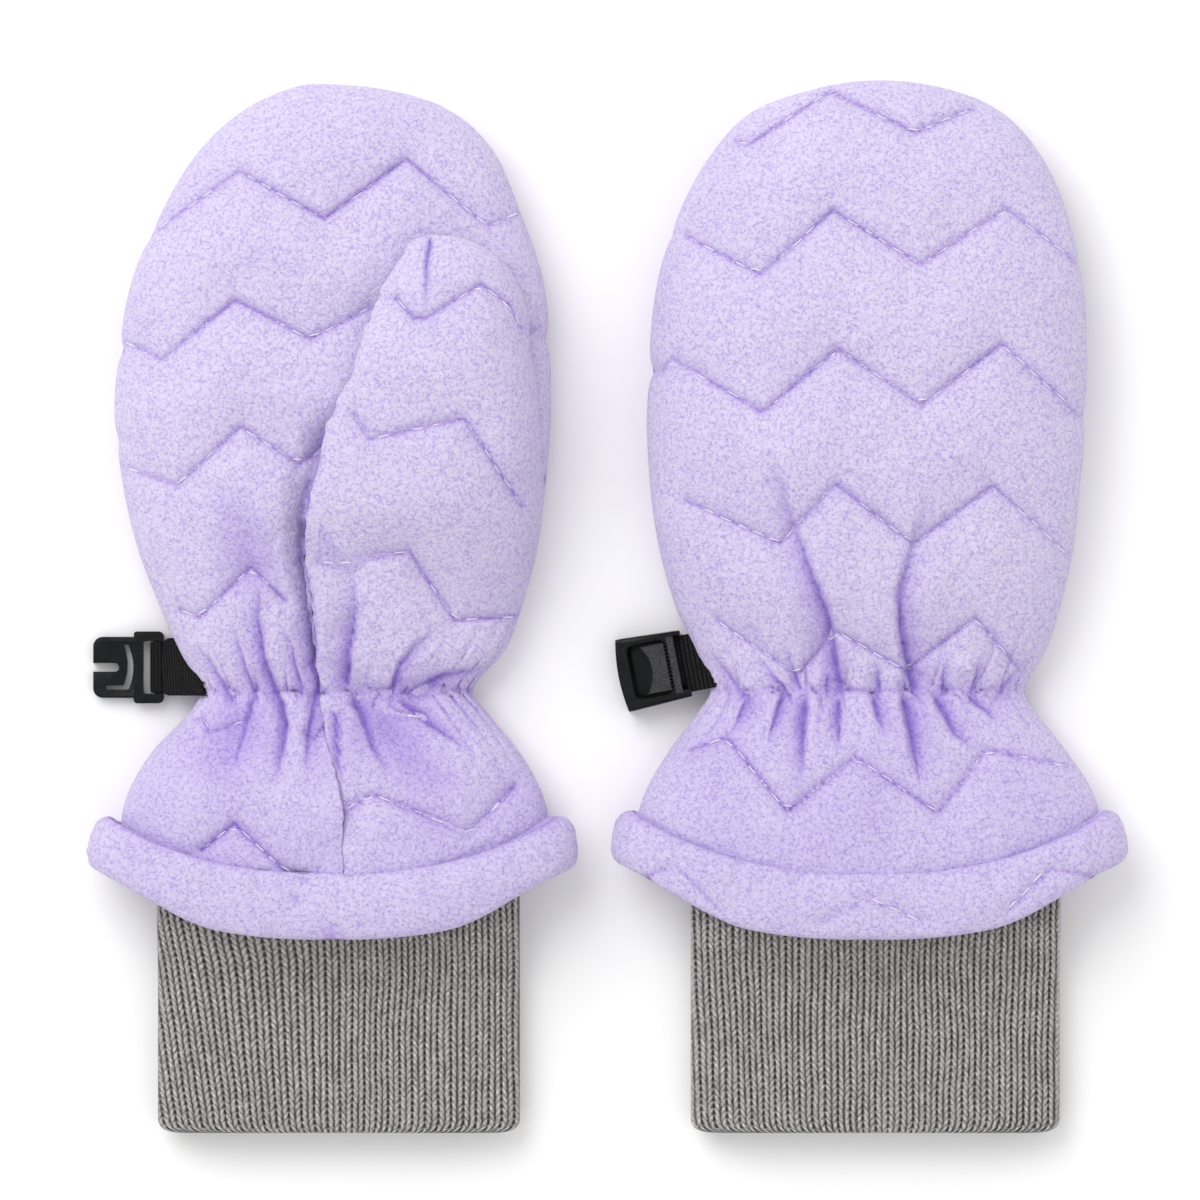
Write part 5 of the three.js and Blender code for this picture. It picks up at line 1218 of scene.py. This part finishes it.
class MITTENS_OT_thread(bpy.types.Operator):
    """Sew the zigzag quilting lines"""
    bl_idname = "mittens.thread"
    bl_label = "Quilting Thread"

    def execute(self, context):
        settings = context.scene.mittens_thread
        material = shared_material("quilting_thread", thread_material, settings)
        rng = np.random.default_rng(7)
        places = [("palm_up", "palm", "palm_up_palm_panel_fleece"), ("palm_up", "thumb", "palm_up_thumb_panel_fleece"),
                  ("back_up", "back", "back_up_back_panel_fleece"),
                  ("back_up", "back_hem", "back_up_hem_band_fleece")]
        for mitten in MITTENS:
            points, faces = [], []
            for owner, part, surface in places:
                if owner != mitten["name"]:
                    continue
                tree = surface_tree(surface)
                for line in QUILTS[part]:
                    moved = [(x + mitten["axis"], y) for x, y in line]
                    for start, end in stitch_places(moved, settings.stitch / MM):
                        wobble, lift = rng.normal(0, 0.07), rng.uniform(-0.34, 0.03)
                        add_stitch(points, faces, start, end, tree, settings.thickness / MM, wobble, lift)
            make_piece(mitten["name"] + "_quilting_thread", points, faces, material, "mittens",
                       merge=False)
        return {"FINISHED"}


# Webbing
def strap_reach(mitten, bar, turn):
    """How far along its heading each edge of the strap runs before it meets the mitten's side."""
    edges = edges_of(mitten["outline"])

    def to_side(offset):
        run = 2.0
        for _ in range(20):
            y = bar[1] + run * math.sin(turn) + offset * math.cos(turn)
            side = mitten["axis"] + float(edges(np.array(y), 0)[0]) - 0.1
            x = bar[0] + run * math.cos(turn) - offset * math.sin(turn)
            run += (side - x) / math.cos(turn)
        return run

    return to_side


def strap_mesh(mitten, settings):
    """A folded strap with ribs across it: an eye round the clip's bar and two plies into the side seam."""
    at = STRAPS[mitten["name"]]
    bar, turn, pitch, height = at["bar"], at["turn"], at["rib"], at["rib_height"]
    reach = strap_reach(mitten, bar, turn)
    seam = curve_through(mitten["outline"], "seam")
    half, ply = STRAP["width"] / 2, STRAP["ply"]
    slope = math.atan2(float(seam(np.array(bar[1]))) - bar[2], (reach(half) + reach(-half)) / 2)
    outer = STRAP["bar_radius"] + STRAP["eye_gap"] + ply
    leave = math.asin(ply / outer)
    ahead, thick = np.array([math.cos(slope), math.sin(slope)]), np.array([-math.sin(slope), math.cos(slope)])
    steps, columns = 110, 41
    around = np.linspace(slope + leave, slope - leave + 2 * math.pi, 40)[1:-1]
    turned = Matrix.Rotation(turn, 3, "Z")
    rng = np.random.default_rng(at["seed"])
    points, crests = [], []
    for offset in np.linspace(-half, half, columns):
        end = (reach(offset) + 1.2 + rng.normal(0, 0.15)) / math.cos(slope)
        run = np.linspace(end, outer * math.cos(leave), steps)
        rib = height * (np.abs(np.sin(np.pi * (run + at["slant"] * offset) / pitch)) ** 0.6 - 1)
        edge = 0.16 * (abs(offset) / half) ** 12
        upper = [ahead * r + thick * (ply + h - edge) for r, h in zip(run, rib)]
        lower = [ahead * r - thick * (ply + h - edge) for r, h in zip(run, rib)][::-1]
        eye_rib = height * (np.abs(np.sin(np.pi * outer * around / pitch)) ** 0.6 - 1)
        eye = [np.array([math.cos(a), math.sin(a)]) * (outer - edge + h) for a, h in zip(around, eye_rib)]
        crests.extend(1 + np.concatenate([rib, eye_rib, rib[::-1]]) / height)
        for k, profile in enumerate(upper + eye + lower):
            reached = float(profile @ ahead)
            spread = offset * mix(1, at["spread"], float(smooth(reached, 1.0, 2.6)))
            p = turned @ Vector((profile[0], spread + at["shift"] * float(smooth(reached, 1.0, 2.6)), 0))
            points.append((p.x + bar[0], p.y + bar[1], profile[1] + bar[2]))
    count = len(points) // columns
    faces = [tuple(range(count))[::-1], tuple(range((columns - 1) * count, columns * count))]
    for k in range(columns - 1):
        for j in range(count):
            a, b = k * count + j, k * count + (j + 1) % count
            faces.append((a, b, b + count, a + count))
    return points, faces, np.array(crests)


class MITTENS_OT_webbing(bpy.types.Operator):
    """Make the webbing loop that holds each half of the clip"""
    bl_idname = "mittens.webbing"
    bl_label = "Webbing Loops"

    def execute(self, context):
        settings = context.scene.mittens_clip
        material = shared_material("black_webbing", webbing_material, settings)
        for mitten in MITTENS:
            points, faces, shade = strap_mesh(mitten, settings)
            node = mitten["name"] + "_webbing"
            make_piece(node + "_strap", points, faces, material, "mittens", node, shade, merge=False)
        return {"FINISHED"}


# Clip halves, modelled from primitives
def clear_selection():
    if bpy.context.object and bpy.context.object.mode != "OBJECT":
        bpy.ops.object.mode_set(mode="OBJECT")
    bpy.ops.object.select_all(action="DESELECT")


def add_block(name, x0, x1, y0, y1, z0, z1):
    """A box between two corners in millimetres, with its place in its mesh."""
    clear_selection()
    bpy.ops.mesh.primitive_cube_add(size=1, location=(0, 0, 0))
    block = bpy.context.object
    block.name = name
    centre = Vector(((x0 + x1) / 2, (y0 + y1) / 2, (z0 + z1) / 2)) * MM
    size = Vector((x1 - x0, y1 - y0, z1 - z0)) * MM
    block.data.transform(Matrix.Translation(centre) @ Matrix.Diagonal((*size, 1)))
    return block


def round_edges(block, radius, wanted, segments=5, axis=2):
    """Rounds the edges along an axis, upright ones by default, whose place the test accepts."""
    clear_selection()
    bpy.context.view_layer.objects.active = block
    block.select_set(True)
    bpy.ops.object.mode_set(mode="EDIT")
    bpy.ops.mesh.select_mode(type="EDGE")
    bpy.ops.mesh.select_all(action="DESELECT")
    work = bmesh.from_edit_mesh(block.data)
    for edge in work.edges:
        a, b = (v.co / MM for v in edge.verts)
        edge.select = abs(b[axis] - a[axis]) > 0.99 * (b - a).length and wanted((a + b) / 2)
    bmesh.update_edit_mesh(block.data)
    bpy.ops.mesh.bevel(offset=radius * MM, segments=segments)
    bpy.ops.object.mode_set(mode="OBJECT")


def boolean(piece, other, operation):
    """Cuts or joins with another object, which is then removed."""
    clear_selection()
    bpy.context.view_layer.objects.active = piece
    piece.select_set(True)
    modifier = piece.modifiers.new("cut", "BOOLEAN")
    modifier.operation = operation
    modifier.object = other
    modifier.solver = "EXACT"
    bpy.ops.object.modifier_apply(modifier=modifier.name)
    bpy.data.objects.remove(other, do_unlink=True)


def give_materials(piece, materials, index=0):
    """The piece's faces take one of the materials, and keep it where they are joined to another piece."""
    for material in materials:
        piece.data.materials.append(material)
    for face in piece.data.polygons:
        face.material_index = index


def finish_moulding(piece, edge, place, turn, body, node):
    """Rounds every edge, puts the piece in its place and gives it its body."""
    clear_selection()
    bpy.context.view_layer.objects.active = piece
    piece.select_set(True)
    bevel = piece.modifiers.new("edges", "BEVEL")
    bevel.width = edge
    bevel.segments = 3
    bevel.limit_method = "ANGLE"
    bevel.angle_limit = math.radians(38)
    bevel.use_clamp_overlap = True
    bpy.ops.object.modifier_apply(modifier=bevel.name)
    bpy.ops.object.shade_smooth_by_angle(angle=math.radians(40))
    piece.data.transform(Matrix.Translation(Vector(place) * MM) @ Matrix.Rotation(turn, 4, "Z"))
    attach(piece, body)
    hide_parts(node)


def add_disc(name, radius, x, y, z0, z1):
    """An upright cylinder, 128 sides round."""
    clear_selection()
    bpy.ops.mesh.primitive_cylinder_add(vertices=128, radius=radius * MM, depth=(z1 - z0) * MM)
    disc = bpy.context.object
    disc.name = name
    disc.data.transform(Matrix.Translation(Vector((x, y, (z0 + z1) / 2)) * MM))
    return disc


def add_bar(length, radius):
    clear_selection()
    bpy.ops.mesh.primitive_cylinder_add(vertices=32, radius=radius * MM, depth=length * MM)
    bar = bpy.context.object
    bar.data.transform(Matrix.Rotation(math.pi / 2, 4, "X"))
    return bar


class MITTENS_OT_hook(bpy.types.Operator):
    """Model the hook half of the clip: a notched plate with a sprung slot and a webbing bar"""
    bl_idname = "mittens.hook"
    bl_label = "Hook"

    def execute(self, context):
        settings = context.scene.mittens_clip
        material = shared_material("moulded_plastic", plastic_material, settings)
        bar = STRAPS["palm_up"]["bar"]
        low, high = -bar[2], 2.6 - bar[2]
        plate = add_block("palm_up_hook_plate", -10.9, -2.2, -5.1, 5.1, low, high - 0.5)
        round_edges(plate, 1.6, lambda p: p.x < -10)
        give_materials(plate, [material])
        slot_frame = add_block("slot_frame", -4.1, 0.9, -6, 6, low, high)
        round_edges(slot_frame, 0.9, lambda p: p.x > 0)
        round_edges(slot_frame, 0.5, lambda p: p.x < 0)
        boolean(plate, slot_frame, "UNION")
        half = STRAP["width"] / 2 + 0.15
        opening = add_block("opening", -2.5, 3, -half, half, low - 1, high + 1)
        round_edges(opening, 0.45, lambda p: p.x < -2)
        boolean(plate, opening, "DIFFERENCE")
        notch = add_block("notch", -13, -6.6, -0.72, 0.72, low - 1, high + 1)
        round_edges(notch, 0.7, lambda p: p.x > -7, segments=8)
        boolean(plate, notch, "DIFFERENCE")
        sprung = add_disc("sprung_slot", 8.96, -13.16, 0, low - 1, high + 1)
        boolean(sprung, add_disc("inner_side", 8.7, -13.86, 0.4, low - 2, high + 2), "DIFFERENCE")
        ends = add_block("slot_ends", -7, -3, -3.6, 3.75, low - 2, high + 2)
        boolean(sprung, ends, "INTERSECT")
        boolean(plate, sprung, "DIFFERENCE")
        foot = add_block("slot_foot", -8.8, -5.05, -3.72, -3.05, low - 1, high + 1)
        round_edges(foot, 0.3, lambda p: p.x < -8)
        boolean(plate, foot, "DIFFERENCE")
        boolean(plate, add_bar(11.2, STRAP["bar_radius"]), "UNION")
        for x0, x1, y0, y1 in HOOK_RIMS:
            boolean(plate, add_block("rim", x0, x1, y0, y1, high - 0.7, high - 0.28), "UNION")
        finish_moulding(plate, settings.edge, bar, 0, "hook", "palm_up_hook")
        return {"FINISHED"}


class MITTENS_OT_receiver(bpy.types.Operator):
    """Model the receiver half of the clip: a shallow box with a mouth, window, tongue and webbing bar"""
    bl_idname = "mittens.receiver"
    bl_label = "Receiver"

    def execute(self, context):
        settings = context.scene.mittens_clip
        materials = [shared_material("moulded_plastic", plastic_material, settings),
                     plastic_material(settings, "textured_plastic", gloss=0.85, speckle=0.0006)]
        bar, turn = STRAPS["back_up"]["bar"], STRAPS["back_up"]["turn"]
        low = -bar[2]
        high = low + 5.6
        box = add_block("back_up_receiver_box", -9.8, 1.7, -6.9, 5.5, low, high)
        for vertex in box.data.vertices:
            if vertex.co.x > 0:
                vertex.co.y = vertex.co.y * 0.91
        boolean(box, add_disc("bowed_mouth", 30, 20.25, -0.7, low - 1, high + 1), "INTERSECT")
        round_edges(box, 0.9, lambda p: p.z > high - 0.1, segments=3, axis=0)
        round_edges(box, 0.8, lambda p: p.z < high - 0.3 and abs(p.y + 0.7) > 4.9)
        give_materials(box, materials)
        window = add_block("window", -7.7, -0.95, -5.2, 4.1, low + 1.1, high + 3)
        round_edges(window, 1.3, lambda p: True)
        boolean(box, window, "DIFFERENCE")
        boolean(box, add_block("mouth", -11, -6.6, -4.6, 3.6, low + 1.1, low + 4.2), "DIFFERENCE")
        half = STRAP["width"] / 2 + 0.15
        boolean(box, add_block("cavity", -0.9, 3, -half - 0.5, half, low - 1, low + 4.1), "DIFFERENCE")
        boolean(box, add_block("over_bar", 0.4, 3, -half - 0.5, half, low - 1, high + 3), "DIFFERENCE")
        ledge = add_block("ledge", -7.0, -1.2, -4.7, 3.6, low + 0.6, low + 2.8)
        round_edges(ledge, 1.2, lambda p: p.x < -6)
        boolean(box, ledge, "UNION")
        tongue = add_block("tongue", -5.6, -1.45, -4.5, 3.4, low + 0.6, high - 0.25)
        hollow_edge = add_disc("hollow_edge", 6.2, -10.2, -0.5, low - 1, high + 2)
        boolean(tongue, hollow_edge, "DIFFERENCE")
        give_materials(tongue, materials, 1)
        boolean(box, tongue, "UNION")
        boolean(box, add_bar(10, STRAP["bar_radius"]), "UNION")
        for k in range(13):
            y = -4.5 + k * 0.62
            boolean(box, add_block("tooth", -1.5, -0.85, y, y + 0.28, high - 0.8, high - 0.32), "UNION")
        band = add_block("band", -0.8, 0.3, -5.3, 4.2, high - 0.3, high + 0.06)
        give_materials(band, materials, 1)
        boolean(box, band, "UNION")
        for x0, x1, y0, y1 in RECEIVER_RIMS:
            boolean(box, add_block("rim", x0, x1, y0, y1, high - 0.2, high + 0.16), "UNION")
        finish_moulding(box, settings.edge, bar, turn, "buckle", "back_up_buckle")
        return {"FINISHED"}


class MITTENS_OT_stage(bpy.types.Operator):
    """Add the floor, the lights and the camera"""
    bl_idname = "mittens.stage"
    bl_label = "Stage"

    def execute(self, context):
        settings = context.scene.mittens_stage
        clear_selection()
        bpy.ops.mesh.primitive_plane_add(size=6, location=(0, 0, -0.00005))
        floor = bpy.context.object
        floor.name = "floor"
        floor.data.materials.append(floor_material(settings))
        for name, place, size, power in (
                ("key", (-0.8, 1.0, 1.4), 1.5, 21.0), ("fill", (1.1, -0.6, 1.5), 2.4, 5.0)):
            light = bpy.data.lights.new(name, "AREA")
            light.energy = power
            light.size = size
            lamp = bpy.data.objects.new(name, light)
            lamp.location = place
            lamp.rotation_euler = (-Vector(place)).to_track_quat("-Z", "Y").to_euler()
            context.scene.collection.objects.link(lamp)
        world = bpy.data.worlds.new("studio")
        world.use_nodes = True
        world.node_tree.nodes["Background"].inputs["Color"].default_value = (1, 1, 1, 1)
        world.node_tree.nodes["Background"].inputs["Strength"].default_value = 0.82
        context.scene.world = world
        camera_data = bpy.data.cameras.new("camera")
        camera = bpy.data.objects.new("camera", camera_data)
        height = settings.camera_height
        camera_data.lens = camera_data.sensor_width * (height - 0.008) / settings.view_width
        camera_data.clip_end = 20
        camera.location = (-0.83 * MM, 1.25 * MM, height)
        context.scene.collection.objects.link(camera)
        context.scene.camera = camera
        context.scene.view_settings.view_transform = "Standard"
        return {"FINISHED"}


OPERATORS = (
    MITTENS_OT_panels, MITTENS_OT_hems, MITTENS_OT_cuffs, MITTENS_OT_thread, MITTENS_OT_webbing,
    MITTENS_OT_hook, MITTENS_OT_receiver, MITTENS_OT_stage)


class MITTENS_PT_sidebar(bpy.types.Panel):
    """Lists the steps that make the mittens"""
    bl_label = "Mittens"
    bl_idname = "MITTENS_PT_sidebar"
    bl_space_type = "VIEW_3D"
    bl_region_type = "UI"
    bl_category = "Mittens"

    def draw(self, context):
        for operator in OPERATORS:
            self.layout.operator(operator.bl_idname)


SETTINGS = {
    "mittens_fleece": MITTENS_PG_fleece, "mittens_thread": MITTENS_PG_thread, "mittens_knit": MITTENS_PG_knit,
    "mittens_clip": MITTENS_PG_clip, "mittens_stage": MITTENS_PG_stage}


def register():
    for group in SETTINGS.values():
        bpy.utils.register_class(group)
    for name, group in SETTINGS.items():
        setattr(bpy.types.Scene, name, PointerProperty(type=group))
    for operator in OPERATORS:
        bpy.utils.register_class(operator)
    bpy.utils.register_class(MITTENS_PT_sidebar)


def unregister():
    bpy.utils.unregister_class(MITTENS_PT_sidebar)
    for operator in reversed(OPERATORS):
        bpy.utils.unregister_class(operator)
    for name, group in SETTINGS.items():
        delattr(bpy.types.Scene, name)
        bpy.utils.unregister_class(group)


def main():
    register()
    bpy.ops.mittens.stage()
    bpy.ops.mittens.panels()
    bpy.ops.mittens.hems()
    bpy.ops.mittens.cuffs()
    bpy.ops.mittens.thread()
    bpy.ops.mittens.webbing()
    bpy.ops.mittens.hook()
    bpy.ops.mittens.receiver()


if __name__ == "__main__":
    main()
